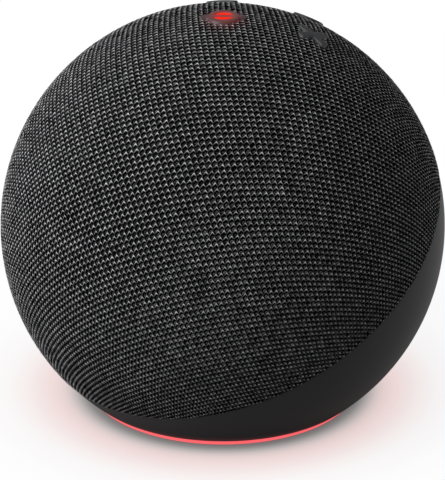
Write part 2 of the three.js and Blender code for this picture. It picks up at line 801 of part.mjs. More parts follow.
// ---- Driver ------------------------------------------------------------------------------------
const flangeRear = driverFlangeFront - driverFlangeThickness;
const basketSeat = flangeRear - basketDepth;
const formerOuter = formerRadius;
const windingOuter = formerOuter + windingThickness;
const plateBore = windingOuter + airGap;
const basketThroat = seatInner + 0.4;
const screwPlaces = aroundAxis(driverScrews, driverScrewReach, 45);
const basketCone = solid(turned([
  [basketThroat, flangeRear],
  [basketThroat, driverFlangeFront - embed],
  [basketThroat - basketWall, driverFlangeFront - embed],
  [basketThroat - basketWall, flangeRear],
  [topPlateRadius - 1 - basketWall, basketSeat + basketWall],
  [plateBore, basketSeat + basketWall],
  [plateBore, basketSeat],
  [topPlateRadius, basketSeat],
], 24));
const basketWindowLow = basketSeat + basketWindowMargin;
const basketWindowHigh = flangeRear - basketWindowMargin;
const basketWindow = (i) => solid(new THREE
  .BoxGeometry(ballRadius, basketWindowWidth, basketWindowHigh - basketWindowLow)
  .translate(ballRadius / 2 + formerOuter, 0, (basketWindowLow + basketWindowHigh) / 2)
  .rotateZ(2 * Math.PI * i / basketWindows));
const basket = cutAll(
  cutAll(basketCone, Array.from({ length: basketWindows }, (_, i) => basketWindow(i)))
    .add(solid(tube(
      basketThroat - basketWall,
      driverFlangeRadius,
      flangeRear,
      driverFlangeFront,
      28,
    ))),
  screwPlaces.map((at) => solid(rod(pilotRadius, flangeRear - 1, driverFlangeFront + 1, at, 8))),
);
piece(driverGroup, 'driver_basket', basket, finishes.steel);

const plateTop = basketSeat - clearance;
const plateBottom = plateTop - topPlateThickness;
const magnetTop = plateBottom - clearance;
const magnetBottom = magnetTop - magnetThickness;
const yokeTop = magnetBottom - clearance;
const topPlate = tube(plateBore, topPlateRadius, plateBottom, plateTop);
piece(driverGroup, 'magnet_top_plate', topPlate, finishes.steel);
const magnet = tube(plateBore + magnetInset, magnetRadius, magnetBottom, magnetTop);
piece(driverGroup, 'driver_magnet', magnet, finishes.ferrite);
piece(driverGroup, 'magnet_yoke', turned([
  [0, yokeTop - yokeThickness],
  [yokeRadius, yokeTop - yokeThickness],
  [yokeRadius, yokeTop],
  [poleRadius, yokeTop],
  [poleRadius, plateTop],
  [0, plateTop],
]), finishes.steel);

const coilBottom = plateTop - topPlateThickness / 2 - windingLength / 2;
const formerBottom = coilBottom - 0.6;
const formerTop = formerBottom + formerLength;
piece(driverGroup, 'voice_coil', turned([
  [formerOuter - formerWall, formerBottom],
  [formerOuter, formerBottom],
  [formerOuter, coilBottom],
  [windingOuter, coilBottom],
  [windingOuter, coilBottom + windingLength],
  [formerOuter, coilBottom + windingLength],
  [formerOuter, formerTop],
  [formerOuter - formerWall, formerTop],
]), finishes.copper);

const coneNeck = formerOuter + clearance;
const coneEdge = surroundInner - clearance;
const coneRimTop = surroundSeat - clearance;
const coneNeckTop = coneRimTop - coneDepth;
const coneSlope = coneDepth / (coneEdge - coneNeck);
piece(driverGroup, 'speaker_cone', turned([
  [coneNeck, coneNeckTop - coneThickness],
  [coneEdge, coneRimTop - coneThickness],
  [coneEdge, coneRimTop],
  [coneNeck, coneNeckTop],
], 28), finishes.paper);

// Dust cap: a dome whose edge stands on the cone
const capEdge = coneNeck + 1.6;
const capBottom = coneNeckTop + (capEdge - coneNeck) * coneSlope + clearance;
const capSphere = (capEdge ** 2 + capRise ** 2) / (2 * capRise);
const capAngle = Math.asin(capEdge / capSphere);
const capCentre = capBottom + capRise - capSphere;
const lifted = (points) => points.map(([radius, height]) => [radius, height + capCentre]);
piece(driverGroup, 'dust_cap', turned([
  ...lifted(arc(capSphere, 0, capAngle, 4)),
  ...lifted(arc(capSphere - coneThickness, capAngle, 0, 4)),
], 20), finishes.paper);

// Surround: a half roll between the cone's rim and the flange
const rollRadius = (surroundOuter - surroundInner) / 2;
const rollCentre = (surroundOuter + surroundInner) / 2;
const rollSteps = 4;
const roll = (radius, from, to) => Array.from({ length: rollSteps + 1 }, (_, i) => {
  const angle = from + (to - from) * i / rollSteps;
  return [rollCentre - radius * Math.cos(angle), surroundSeat + radius * Math.sin(angle)];
});
piece(driverGroup, 'cone_surround', turned([
  ...roll(rollRadius, 0, Math.PI - Math.asin(surroundThickness / rollRadius)),
  [seatInner + seatWall, surroundSeat + surroundThickness],
  [seatInner + seatWall, surroundSeat],
  ...roll(rollRadius - surroundThickness, Math.PI, 0),
], 24), finishes.rubber);

const spiderWaves = 2;
const spiderInner = formerOuter + clearance;
const spiderLevel = coneNeckTop - spiderDrop;
const basketLean = (basketThroat - topPlateRadius + 1) / (flangeRear - basketSeat - basketWall);
const spiderOuter = topPlateRadius - 1 - basketWall - clearance
  + (spiderLevel - basketSeat - basketWall) * basketLean;
const spiderStep = (spiderOuter - spiderInner) / (2 * spiderWaves);
const spiderLine = (level) => Array.from({ length: 2 * spiderWaves + 1 }, (_, i) => [
  spiderInner + i * spiderStep,
  level + (i % 2) * spiderWaveHeight,
]);
piece(driverGroup, 'spider', turned([
  ...spiderLine(spiderLevel),
  ...spiderLine(spiderLevel + spiderThickness).reverse(),
], 20), finishes.cloth);

piece(
  driverGroup,
  'driver_gasket',
  tube(seatInner, seatInner + seatWall, gasketLow, gasketLow + gasketThickness),
  finishes.rubber,
);

// Box behind the driver: a straight rim with screw bosses and a domed back
const boxRim = flangeRear - clearance;
const boxShoulder = boxRim - boxStraight;
const domeSteps = 4;
const domeCurve = (radius, depth) => Array.from({ length: domeSteps + 1 }, (_, i) => {
  const angle = Math.PI / 2 * i / domeSteps;
  return [i === domeSteps ? 0 : radius * Math.cos(angle), boxShoulder - depth * Math.sin(angle)];
});
const boxOuterSkin = solid(turned([
  [0, boxRim],
  [boxRadius, boxRim],
  ...domeCurve(boxRadius, boxDome),
], 28));
const boxHollow = solid(turned([
  [0, boxRim + 1],
  [boxRadius - boxWall, boxRim + 1],
  ...domeCurve(boxRadius - boxWall, boxDome - boxWall),
], 28));
const boxBosses = joined(screwPlaces.map((at) => solid(
  rod(boxBossRadius, boxRim - boxBossDepth, boxRim, at, 10),
)));
const speakerBox = cutAll(
  boxOuterSkin.subtract(boxHollow).add(boxBosses.intersect(boxOuterSkin)),
  screwPlaces.map((at) => solid(
    rod(pilotRadius, boxRim - boxBossDepth + boxWall, boxRim + 1, at, 8),
  )),
);
piece(driverGroup, 'speaker_box', speakerBox, finishes.plastic);
placeScrews(
  driverGroup,
  'driver_screw',
  screwPlaces,
  driverFlangeFront + clearance,
  driverFlangeThickness + driverScrewBite,
);

// ---- Cables ------------------------------------------------------------------------------------
// Flat ribbon from the button board to the main board, as a strip along a curve in the YZ plane
const fromButtonFrame = (y, z) => new THREE.Vector3(0, y, z).applyMatrix4(buttonFrame);
const ribbonTop = fromButtonFrame(
  buttonPlugAt[1] + ribbonPlug[1] / 2 + clearance,
  buttonBoardBottom - connectorHeight / 2,
);
const ribbonEnd = [mainPlugAt[1] + ribbonPlug[1] / 2 + clearance, mainBoardTop + connectorHeight / 2];
const ribbonCurve = new THREE.SplineCurve([
  new THREE.Vector2(ribbonTop.y, ribbonTop.z),
  new THREE.Vector2(ribbonTop.y + ribbonBend, ribbonTop.z - ribbonBend),
  new THREE.Vector2(mainBoardRadius + ribbonStandoff, ballHeight + ribbonRunTop),
  new THREE.Vector2(mainBoardRadius + ribbonStandoff, ballHeight - ribbonRunBottom),
  new THREE.Vector2(ribbonEnd[0] + ribbonBend, ribbonEnd[1] + ribbonBend * 0.75),
  new THREE.Vector2(ribbonEnd[0], ribbonEnd[1]),
]);
const ribbonSteps = 16;
const ribbonSide = (offset) => Array.from({ length: ribbonSteps + 1 }, (_, i) => {
  const point = ribbonCurve.getPoint(i / ribbonSteps);
  const along = ribbonCurve.getTangent(i / ribbonSteps);
  return new THREE.Vector2(point.x - along.y * offset, point.y + along.x * offset);
});
const ribbonOutline = new THREE.Shape([
  ...ribbonSide(ribbonThickness / 2),
  ...ribbonSide(-ribbonThickness / 2).reverse(),
]);
const ribbon = new THREE.ExtrudeGeometry(ribbonOutline, { depth: ribbonWidth, bevelEnabled: false })
  .applyMatrix4(new THREE.Matrix4().makeBasis(
    new THREE.Vector3(0, 1, 0),
    new THREE.Vector3(0, 0, 1),
    new THREE.Vector3(1, 0, 0),
  ))
  .translate(ribbonCentre - ribbonWidth / 2, 0, 0);
piece(speaker, 'button_ribbon', ribbon, finishes.ribbon);

// Twin lead from the back of the speaker box to its plug on the main board
const boxBack = boxShoulder - boxDome;
const leadTop = mainBoardTop + leadPlug[2] + clearance;
const leadCurve = new THREE.CatmullRomCurve3([
  new THREE.Vector3(-leadSpacing, -boxBack + clearance + leadRadius, ballHeight + driverRise),
  new THREE.Vector3(-2 * leadSpacing, leadBend - boxBack, ballHeight + driverRise - leadSpacing),
  new THREE.Vector3(leadPlugCentre[0] + leadSpacing, leadBend - boxBack, ballHeight - leadDrop),
  new THREE.Vector3(leadPlugCentre[0], leadPlugCentre[1], leadTop + leadBend),
  new THREE.Vector3(leadPlugCentre[0], leadPlugCentre[1], leadTop),
]);
const leadSection = new THREE.Shape();
leadSection.absarc(0, 0, leadRadius, 0, 2 * Math.PI);
piece(speaker, 'speaker_lead', new THREE.ExtrudeGeometry(
  new THREE.Shape(leadSection.getPoints(3).slice(0, -1)),
  { steps: 16, extrudePath: leadCurve, bevelEnabled: false },
), finishes.wire);

export default speaker;
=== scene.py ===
import json
import math

import bmesh
import bpy
import numpy as np
from mathutils import Matrix, Vector


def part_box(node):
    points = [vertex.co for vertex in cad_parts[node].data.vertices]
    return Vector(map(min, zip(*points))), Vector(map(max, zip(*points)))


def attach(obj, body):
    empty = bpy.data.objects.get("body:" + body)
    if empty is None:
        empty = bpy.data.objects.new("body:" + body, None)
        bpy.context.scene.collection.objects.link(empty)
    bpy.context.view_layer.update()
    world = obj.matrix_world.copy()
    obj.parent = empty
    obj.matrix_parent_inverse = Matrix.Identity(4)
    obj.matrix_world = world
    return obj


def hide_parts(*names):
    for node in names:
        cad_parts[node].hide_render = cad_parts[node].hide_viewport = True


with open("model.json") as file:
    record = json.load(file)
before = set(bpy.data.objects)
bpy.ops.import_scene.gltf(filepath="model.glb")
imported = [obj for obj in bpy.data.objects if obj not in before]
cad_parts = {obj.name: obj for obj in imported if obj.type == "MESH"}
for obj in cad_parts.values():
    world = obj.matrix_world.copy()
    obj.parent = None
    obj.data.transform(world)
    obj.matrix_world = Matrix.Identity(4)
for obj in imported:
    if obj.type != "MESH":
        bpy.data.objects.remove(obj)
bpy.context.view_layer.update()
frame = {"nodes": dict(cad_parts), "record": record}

mm = 0.001

# The ball that every skin follows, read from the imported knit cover
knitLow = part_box("knit_cover")[0]
ballRadius = round(-knitLow.y, 4)
ballCentre = Vector((0, 0, 0.0400))  # ball's centre above the table


def tiltedFrame(degrees):
    return Matrix.Translation(ballCentre) @ Matrix.Rotation(math.radians(degrees), 4, "X")


splitFrame = tiltedFrame(31.5)
buttonFrame = tiltedFrame(-16.1)
signPlaces = {  # in the button frame, seen along its axis
    "mute": (0.19 * mm, -14.04 * mm), "volume_up": (14.37 * mm, 0.26 * mm),
    "volume_down": (-14.15 * mm, 0.08 * mm), "action": (-0.09 * mm, 14.11 * mm),
}
muteX, muteY = signPlaces["mute"]
muteHeight = math.sqrt(ballRadius ** 2 - muteX ** 2 - muteY ** 2)
muteMiddle = buttonFrame @ Vector((muteX, muteY, muteHeight))
print("frame loaded, ball radius", ballRadius, "centre", tuple(ballCentre))


# A node socket that Python's operators work on: each operator adds one Math node
class Wire:
    def __init__(self, graph, socket):
        self.graph = graph
        self.socket = socket

    def math(self, operation, *others):
        return self.graph.add("ShaderNodeMath", {"operation": operation}, (self, *others))

    def __add__(self, other):
        return self.math("ADD", other)

    __radd__ = __add__

    def __mul__(self, other):
        return self.math("MULTIPLY", other)

    __rmul__ = __mul__

    def __sub__(self, other):
        return self.math("SUBTRACT", other)

    def __rsub__(self, other):
        return self.graph.add("ShaderNodeMath", {"operation": "SUBTRACT"}, (other, self))

    def __truediv__(self, other):
        return self.math("DIVIDE", other)

    def clamped(self):
        return self.math("MINIMUM", 1.0).math("MAXIMUM", 0.0)


# A shader or geometry tree; add() takes a node's type, its settings, its sockets' values or wires,
# and the output that is wanted
class Graph:
    def __init__(self, tree):
        self.tree = tree

    def add(self, kind, settings=None, sockets=None, output=0):
        node = self.tree.nodes.new(kind)
        for name, value in (settings or {}).items():
            if name == "stops":
                self.setStops(node, value)
            else:
                setattr(node, name, value)
        pairs = sockets.items() if isinstance(sockets, dict) else enumerate(sockets or ())
        for key, value in pairs:
            if isinstance(value, Wire):
                self.tree.links.new(value.socket, node.inputs[key])
            elif value is not None:
                node.inputs[key].default_value = value
        return Wire(self, node.outputs[output]) if len(node.outputs) else node

    def setStops(self, node, stops):
        ramp = node.color_ramp
        while len(ramp.elements) < len(stops):
            ramp.elements.new(0.5)
        for element, (place, colour) in zip(ramp.elements, stops):
            element.position = place
            element.color = rgba(colour)

    def blend(self, factor, low, high):
        return self.add("ShaderNodeMix", {"data_type": "RGBA"}, {0: factor, 6: low, 7: high}, 2)

    def place(self):
        return self.add("ShaderNodeTexCoord", None, None, "Object")

    def noise(self, place, scale, detail=2.0):
        return self.add("ShaderNodeTexNoise", None, {
            "Vector": place, "Scale": scale, "Detail": detail,
        })

    def attribute(self, name):
        return self.add("ShaderNodeAttribute", {"attribute_name": name}, None, "Fac")

    def ray(self, kind):
        return self.add("ShaderNodeLightPath", None, None, f"Is {kind} Ray")


def rgba(colour, scale=1.0):
    return (colour[0] * scale, colour[1] * scale, colour[2] * scale, 1)


def newMaterial(name):
    material = bpy.data.materials.new(name)
    material.use_nodes = True
    material.node_tree.nodes.clear()
    return material, Graph(material.node_tree)


def principled(graph, sockets):
    shader = graph.add("ShaderNodeBsdfPrincipled", None, sockets)
    graph.add("ShaderNodeOutputMaterial", None, {"Surface": shader})


# Red light of the mute lamp that creeps out through its rim and the yarn beside it
def lampSpill(graph, place, look, lit=1.0):
    away = graph.add("ShaderNodeVectorMath", {"operation": "DISTANCE"}, (place, muteMiddle),
                     "Value")
    near = (1 - (away - look["from"]) / look["over"]).clamped()
    return graph.blend(near * near * lit, (0, 0, 0, 1), rgba(look["colour"]))


# Red light of the ring that creeps up the shell's lip, the same all the way round
def ringSpill(graph, place, look):
    height = graph.add("ShaderNodeSeparateXYZ", None, (place,), "Z")
    near = (1 - (height - look["lip"]) / look["over"]).clamped()
    return graph.blend(near * near, (0, 0, 0, 1), rgba(look["colour"]))


# One kind of finish for everything moulded, pressed, plated or woven: mottled colour, uneven
# roughness and a fine grain
def grainFinish(name, look):
    material, graph = newMaterial(name)
    place = graph.place()
    broad = graph.noise(place, look.get("mottle", 60))
    fine = graph.noise(place, look.get("grain", 2200))
    spread = look.get("spread", 0.12)
    colour = graph.blend(broad, rgba(look["colour"], 1 - spread), rgba(look["colour"], 1 + spread))
    rough = look["rough"] + (fine - 0.5) * look.get("roughSpread", 0.15)
    bump = graph.add("ShaderNodeBump", None, {
        "Strength": look.get("bump", 0.15),
        "Distance": look.get("depth", 0.05) * mm,
        "Height": fine,
    })
    spill = None
    if "spill" in look:
        spill = lampSpill(graph, place, look["spill"])
    if "ringSpill" in look:
        spill = ringSpill(graph, place, look["ringSpill"])
    principled(graph, {
        "Base Color": colour,
        "Metallic": look.get("metal", 0.0),
        "Roughness": rough,
        "Normal": bump,
        "Specular IOR Level": look.get("specular", 0.5),
        "Coat Weight": look.get("coat", 0.0),
        "Emission Color": spill,
        "Emission Strength": 1.0 if spill else 0.0,
    })
    return material


finishes = {
    "grille": {"colour": (0.012, 0.012, 0.013), "rough": 0.7},
    "shell": {
        "colour": (0.056, 0.0565, 0.057), "rough": 0.52, "specular": 0.07, "grain": 3600,
        "bump": 0.25, "depth": 0.03, "spread": 0.05, "mottle": 30, "roughSpread": 0.08,
        "ringSpill": {"colour": (0.045, 0.012, 0.013), "lip": 1.5 * mm, "over": 3.2 * mm},
    },
    "sign": {"colour": (0.054, 0.056, 0.060), "rough": 0.48, "grain": 3000, "spread": 0.06},
    "rubber": {"colour": (0.014, 0.012, 0.012), "rough": 0.8, "grain": 1500, "bump": 0.3},
    "plastic": {"colour": (0.015, 0.015, 0.016), "rough": 0.55},
    "white_plastic": {"colour": (0.70, 0.70, 0.66), "rough": 0.4, "spread": 0.04},
    "board": {"colour": (0.012, 0.055, 0.085), "rough": 0.35, "coat": 0.4, "spread": 0.2},
    "steel": {"colour": (0.45, 0.46, 0.48), "rough": 0.34, "metal": 1.0, "spread": 0.08},
    "zinc": {"colour": (0.60, 0.61, 0.63), "rough": 0.42, "metal": 1.0, "mottle": 200},
    "ferrite": {"colour": (0.040, 0.040, 0.045), "rough": 0.65, "metal": 0.3},
    "copper": {"colour": (0.60, 0.25, 0.10), "rough": 0.35, "metal": 1.0, "grain": 5000},
    "paper": {"colour": (0.020, 0.020, 0.022), "rough": 0.85, "bump": 0.5, "depth": 0.1},
    "cloth": {"colour": (0.27, 0.20, 0.08), "rough": 0.9, "bump": 0.6, "depth": 0.1},
    "ribbon": {"colour": (0.57, 0.20, 0.03), "rough": 0.4, "coat": 0.3},
    "wire": {"colour": (0.20, 0.007, 0.007), "rough": 0.5},
    "light": {"colour": (0.95, 0.20, 0.20), "rough": 0.35},
}
materials = {name: grainFinish("finish" + name.title().replace("_", ""), look)
             for name, look in finishes.items()}

# In the yarn, bright is the colour of the painted highlights where the loops' crests are strongest
yarnLook = {
    "dark": (0.006, 0.006, 0.0065), "bright": (0.84, 0.84, 0.86), "level": 1.03, "patchy": 0.7,
    "toneShare": 0.35, "fibreShare": 0.8, "crownHighlightPower": 1.5, "fibre": 2600, "patch": 1100,
    "rough": 0.60, "roughSpread": 0.2, "specular": 0.06, "bump": 0.4, "fibreDepth": 0.05,
    "spill": {"colour": (0.12, 0.005, 0.004), "from": 3.4 * mm, "over": 4.5 * mm},
}
pileLook = {**yarnLook, "dark": (0.010, 0.010, 0.0105), "bright": (0.42, 0.42, 0.43),
            "level": 0.44}


# Yarn: painted highlights make the net's arcs and crests brighter, tone wanders from loop to loop,
# and fibre noise adds painted glints here and there
def yarnFinish(name, look, arcHighlights=True):
    material, graph = newMaterial(name)
    place = graph.place()
    tone = graph.attribute("tone")
    fibre = graph.noise(place, look["fibre"])
    patch = graph.noise(place, look["patch"], 1.0)
    level = (look["level"] + (patch - 0.5) * look["patchy"] * 2 + (tone - 0.5) * look["toneShare"]
             + (fibre - 0.5) * look["fibreShare"])
    # Painted highlights: the loops' crests and arcs are made brighter in the base colour, while the
    # inner walls keep the dark yarn colour
    if arcHighlights:
        crown = graph.attribute("crown").math("POWER", look["crownHighlightPower"])
        level = level * graph.attribute("arc") * crown
    level = level.clamped()
    colour = graph.blend(level, rgba(look["dark"]), rgba(look["bright"]))
    bump = graph.add("ShaderNodeBump", None, {
        "Strength": look["bump"], "Distance": look["fibreDepth"] * mm, "Height": fibre,
    })
    principled(graph, {
        "Base Color": colour,
        "Roughness": look["rough"] + (fibre - 0.5) * look["roughSpread"],
        "Normal": bump,
        "Specular IOR Level": look["specular"],
        "Emission Color": lampSpill(graph, place, look["spill"], level),
        "Emission Strength": 1.0,
    })
    return material


materials["yarn"] = yarnFinish("knitYarn", yarnLook)
materials["pile"] = yarnFinish("knitPile", pileLook, arcHighlights=False)
materials["lining"] = grainFinish("knitLining", {
    "colour": (0.004, 0.004, 0.0045), "rough": 0.95, "specular": 0.03,
    "spill": {"colour": (0.035, 0.002, 0.0015), "from": 3.4 * mm, "over": 4.0 * mm},
})

glowLook = {"strength": 1.0, "grain": 900, "dim": 0.92, "lift": 1.06, "unlit": 0.25,
            "rough": 0.35, "roughSpread": 0.1}
ringLook = {**glowLook, "colour": (1.0, 0.130, 0.145), "specular": 0.2}
lensLook = {**glowLook, "colour": (0.85, 0.014, 0.003), "specular": 0.1}


# Frosted plastic lit from inside: even glow with a faint grain of the diffuser
def glowFinish(name, look):
    material, graph = newMaterial(name)
    grain = graph.noise(graph.place(), look["grain"], 1.0)
    glow = graph.blend(grain, rgba(look["colour"], look["dim"]), rgba(look["colour"], look["lift"]))
    principled(graph, {
        "Base Color": rgba(look["colour"], look["unlit"]),
        "Roughness": look["rough"] + (grain - 0.5) * look["roughSpread"],
        "Specular IOR Level": look["specular"],
        "Emission Color": glow,
        "Emission Strength": look["strength"],
    })
    return material


materials["ringGlow"] = glowFinish("ringGlow", ringLook)
materials["lensGlow"] = glowFinish("lensGlow", lensLook)
materials["muteRing"] = grainFinish("muteRing", {
    "colour": (0.062, 0.060, 0.062), "rough": 0.45, "spread": 0.05, "grain": 3000,
    "spill": {"colour": (0.17, 0.014, 0.012), "from": 2.2 * mm, "over": 3.6 * mm},
})
print("materials made:", len(materials))


def placed(thing):
    bpy.context.scene.collection.objects.link(thing)
    return thing


def meshObject(name, vertices, faces, material, frameMatrix=None):
    mesh = bpy.data.meshes.new(name)
    mesh.from_pydata([tuple(v) for v in vertices], [], faces)
    if frameMatrix is not None:
        mesh.transform(frameMatrix)
    mesh.materials.append(material)
    return placed(bpy.data.objects.new(name, mesh))


def smoothed(thing, degrees=35):
    thing.data.shade_smooth()
    thing.data.set_sharp_from_angle(angle=math.radians(degrees))


# Applies an object's modifiers and leaves a plain mesh
def settled(thing):
    graph = bpy.context.evaluated_depsgraph_get()
    plain = bpy.data.meshes.new_from_object(
        thing.evaluated_get(graph), preserve_all_data_layers=True, depsgraph=graph)
    thing.modifiers.clear()
    old = thing.data
    thing.data = plain
    plain.name = thing.name
    bpy.data.meshes.remove(old)


def twin(thing, name):
    copy = thing.copy()
    copy.data = thing.data.copy()
    copy.name = copy.data.name = name
    return placed(copy)


def discard(*things):
    for thing in things:
        data = thing.data
        bpy.data.objects.remove(thing)
        bpy.data.meshes.remove(data)


# Cuts or joins with a tool, which goes afterwards unless it is kept for the next cut
def carve(thing, tool, operation="DIFFERENCE", kept=False):
    cut = thing.modifiers.new("cut", "BOOLEAN")
    cut.operation = operation
    cut.solver = "MANIFOLD"
    cut.object = tool
    settled(thing)
    if not kept:
        discard(tool)


def edited(thing, edit):
    work = bmesh.new()
    work.from_mesh(thing.data)
    edit(work)
    work.to_mesh(thing.data)
    work.free()


# A profile of (radius, height) points turned about Z; a radius of 0 becomes a pole
def turned(name, profile, segments, material, frameMatrix=None, closed=True):
    vertices = []
    rings = []
    for radius, height in profile:
        if radius == 0:
            rings.append([len(vertices)] * segments)
            vertices.append((0, 0, height))
        else:
            rings.append(list(range(len(vertices), len(vertices) + segments)))
            for i in range(segments):
                angle = 2 * math.pi * i / segments
                vertices.append((radius * math.cos(angle), radius * math.sin(angle), height))
    faces = []
    pairs = list(zip(rings, rings[1:]))
    if closed:
        pairs.append((rings[-1], rings[0]))
    for low, high in pairs:
        for i in range(segments):
            j = (i + 1) % segments
            corners = [low[i], low[j], high[j], high[i]]
            corners = [c for k, c in enumerate(corners) if c != corners[k - 1]]
            if len(corners) > 2:
                faces.append(corners)
    thing = meshObject(name, vertices, faces, material, frameMatrix)
    outwards(thing)
    return thing


def outwards(thing):
    edited(thing, lambda work: bmesh.ops.recalc_face_normals(work, faces=work.faces))


def arcPoints(radius, start, end, steps):
    points = []
    for i in range(steps + 1):
        angle = start + (end - start) * i / steps
        onAxis = abs(math.sin(angle)) < 1e-9
        points.append((0 if onAxis else radius * math.sin(angle), radius * math.cos(angle)))
    return points


def polar(radius, height):
    return math.acos(height / radius)


# Point of a profile at a height, on a ball of that radius
def ballPoint(radius, height):
    return (math.sqrt(radius ** 2 - height ** 2) * mm, height * mm)


# Rounded corner between two straight runs of a profile
def rounded(points, index, radius, steps=4):
    before, corner, after = (Vector(points[(index + k) % len(points)]) for k in (-1, 0, 1))
    inward = (before - corner).normalized()
    outward = (after - corner).normalized()
    start, end = corner + inward * radius, corner + outward * radius
    arc = []
    for i in range(steps + 1):
        t = i / steps
        arc.append(tuple(start * (1 - t) ** 2 + corner * 2 * t * (1 - t) + end * t ** 2))
    return arc


def roundedProfile(points, radii):
    profile = []
    for i, point in enumerate(points):
        profile.extend(rounded(points, i, radii[i]) if radii[i] else [tuple(point)])
    return profile


# Distances in metres, angles in degrees, lens and sensor in millimetres
cameraLook = {
    "distance": 0.850, "azimuth": 45.66, "elevation": 24.08, "lens": 282.7, "sensor": 36,
    "aimRight": -0.158 * mm, "aimUp": -3.43 * mm, "clip": (0.05, 20),
}


def aimed(thing, place, target):
    thing.location = place
    thing.rotation_mode = "QUATERNION"
    thing.rotation_quaternion = (target - thing.location).to_track_quat("-Z", "Y")
    return placed(thing)


def placeCamera(look):
    a, e = math.radians(look["azimuth"]), math.radians(look["elevation"])
    back = Vector((math.sin(a) * math.cos(e), -math.cos(a) * math.cos(e), math.sin(e)))
    right = Vector((math.cos(a), math.sin(a), 0))
    up = back.cross(right)
    data = bpy.data.cameras.new("camera")
    data.lens = look["lens"]
    data.sensor_width = look["sensor"]
    data.clip_start, data.clip_end = look["clip"]
    target = ballCentre + right * look["aimRight"] + up * look["aimUp"]
    place = ballCentre + back * look["distance"]
    bpy.context.scene.camera = aimed(bpy.data.objects.new("camera", data), place, target)


placeCamera(cameraLook)
bpy.context.scene.view_settings.view_transform = "Standard"

# Softboxes: name, power in watts, side in metres, place, all aimed at the ball
lampLook = [
    ("keyLeft", 17.2, 1.0, (-0.340, -1.216, 0.856)),
    ("rimBack", 0.8, 0.50, (0.60, 1.10, 0.60)),
]


def softbox(name, power, side, place):
    data = bpy.data.lights.new(name, "AREA")
    data.energy = power
    data.size = side
    aimed(bpy.data.objects.new(name, data), place, ballCentre)


for row in lampLook:
    softbox(*row)

worldLook = {"strength": 0.208}


def makeWorld(look):
    world = bpy.data.worlds.new("studio")
    world.use_nodes = True
    world.node_tree.nodes.clear()
    graph = Graph(world.node_tree)
    strength = graph.ray("Camera") * (1 - look["strength"]) + look["strength"]
    background = graph.add("ShaderNodeBackground", None, {
        "Color": (1, 1, 1, 1), "Strength": strength,
    })
    graph.add("ShaderNodeOutputWorld", None, {"Surface": background})
    bpy.context.scene.world = world


makeWorld(worldLook)

# The floor's own glow gives a white ground, with a painted contact shadow at the foot and the light
# ring's pink halo painted into it, the same all the way round; lamps still shade it. Each stop is
# a reach in millimetres and a colour
floorLook = {
    "colour": (0.10, 0.10, 0.10), "size": 6.0, "span": 120,
    "bounce": 0.10, "reflectedShadeOver": 105 * mm,
    # Stops: a painted contact shadow round the foot, then the ring's painted pink halo, then a pale
    # ground
    "stops": [
        (29, (0.012, 0.02, 0.02)), (30, (0.06, 0.09, 0.09)), (31, (0.114, 0.156, 0.156)),
        (32, (0.186, 0.209, 0.208)), (33, (0.323, 0.317, 0.312)), (34, (0.46, 0.418, 0.411)),
        (35, (0.59, 0.512, 0.503)), (36, (0.687, 0.573, 0.566)), (37, (0.752, 0.613, 0.607)),
        (39, (0.816, 0.665, 0.661)), (41, (0.839, 0.71, 0.702)), (43, (0.852, 0.757, 0.749)),
        (45, (0.873, 0.805, 0.797)), (49, (0.902, 0.872, 0.878)), (53, (0.911, 0.897, 0.906)),
        (58, (0.924, 0.923, 0.925)), (63, (0.929, 0.928, 0.931)), (105, (0.962, 0.962, 0.962)),
    ],
}


def makeFloor(look):
    material, graph = newMaterial("paleFloor")
    seen, mirrored, bounced = (graph.ray(kind) for kind in ("Camera", "Glossy", "Diffuse"))
    reach = graph.add("ShaderNodeVectorMath", {"operation": "LENGTH"}, (graph.place(),), "Value")
    stops = [(distance / look["span"], colour) for distance, colour in look["stops"]]
    paintedShadowAndHalo = graph.add("ShaderNodeValToRGB", {"stops": stops}, (reach / (look["span"] * mm),))
    diffuse = graph.add("ShaderNodeBsdfDiffuse", None, {"Color": rgba(look["colour"])})
    # Reflections see the floor's glow only away from the foot: a painted shade of the ball in its
    # reflections, fading out over the given reach
    clear = (reach / look["reflectedShadeOver"]).clamped()
    glow = graph.add("ShaderNodeEmission", None, {
        "Color": paintedShadowAndHalo,
        "Strength": (seen + mirrored * clear + bounced * look["bounce"]).clamped(),
    })
    both = graph.add("ShaderNodeAddShader", None, (diffuse, glow))
    graph.add("ShaderNodeOutputMaterial", None, {"Surface": both})
    half = look["size"] / 2
    corners = [(-half, -half, 0), (half, -half, 0), (half, half, 0), (-half, half, 0)]
    floor = meshObject("floor", corners, [(0, 1, 2, 3)], material)


makeFloor(floorLook)
print("camera, lamps and floor placed")

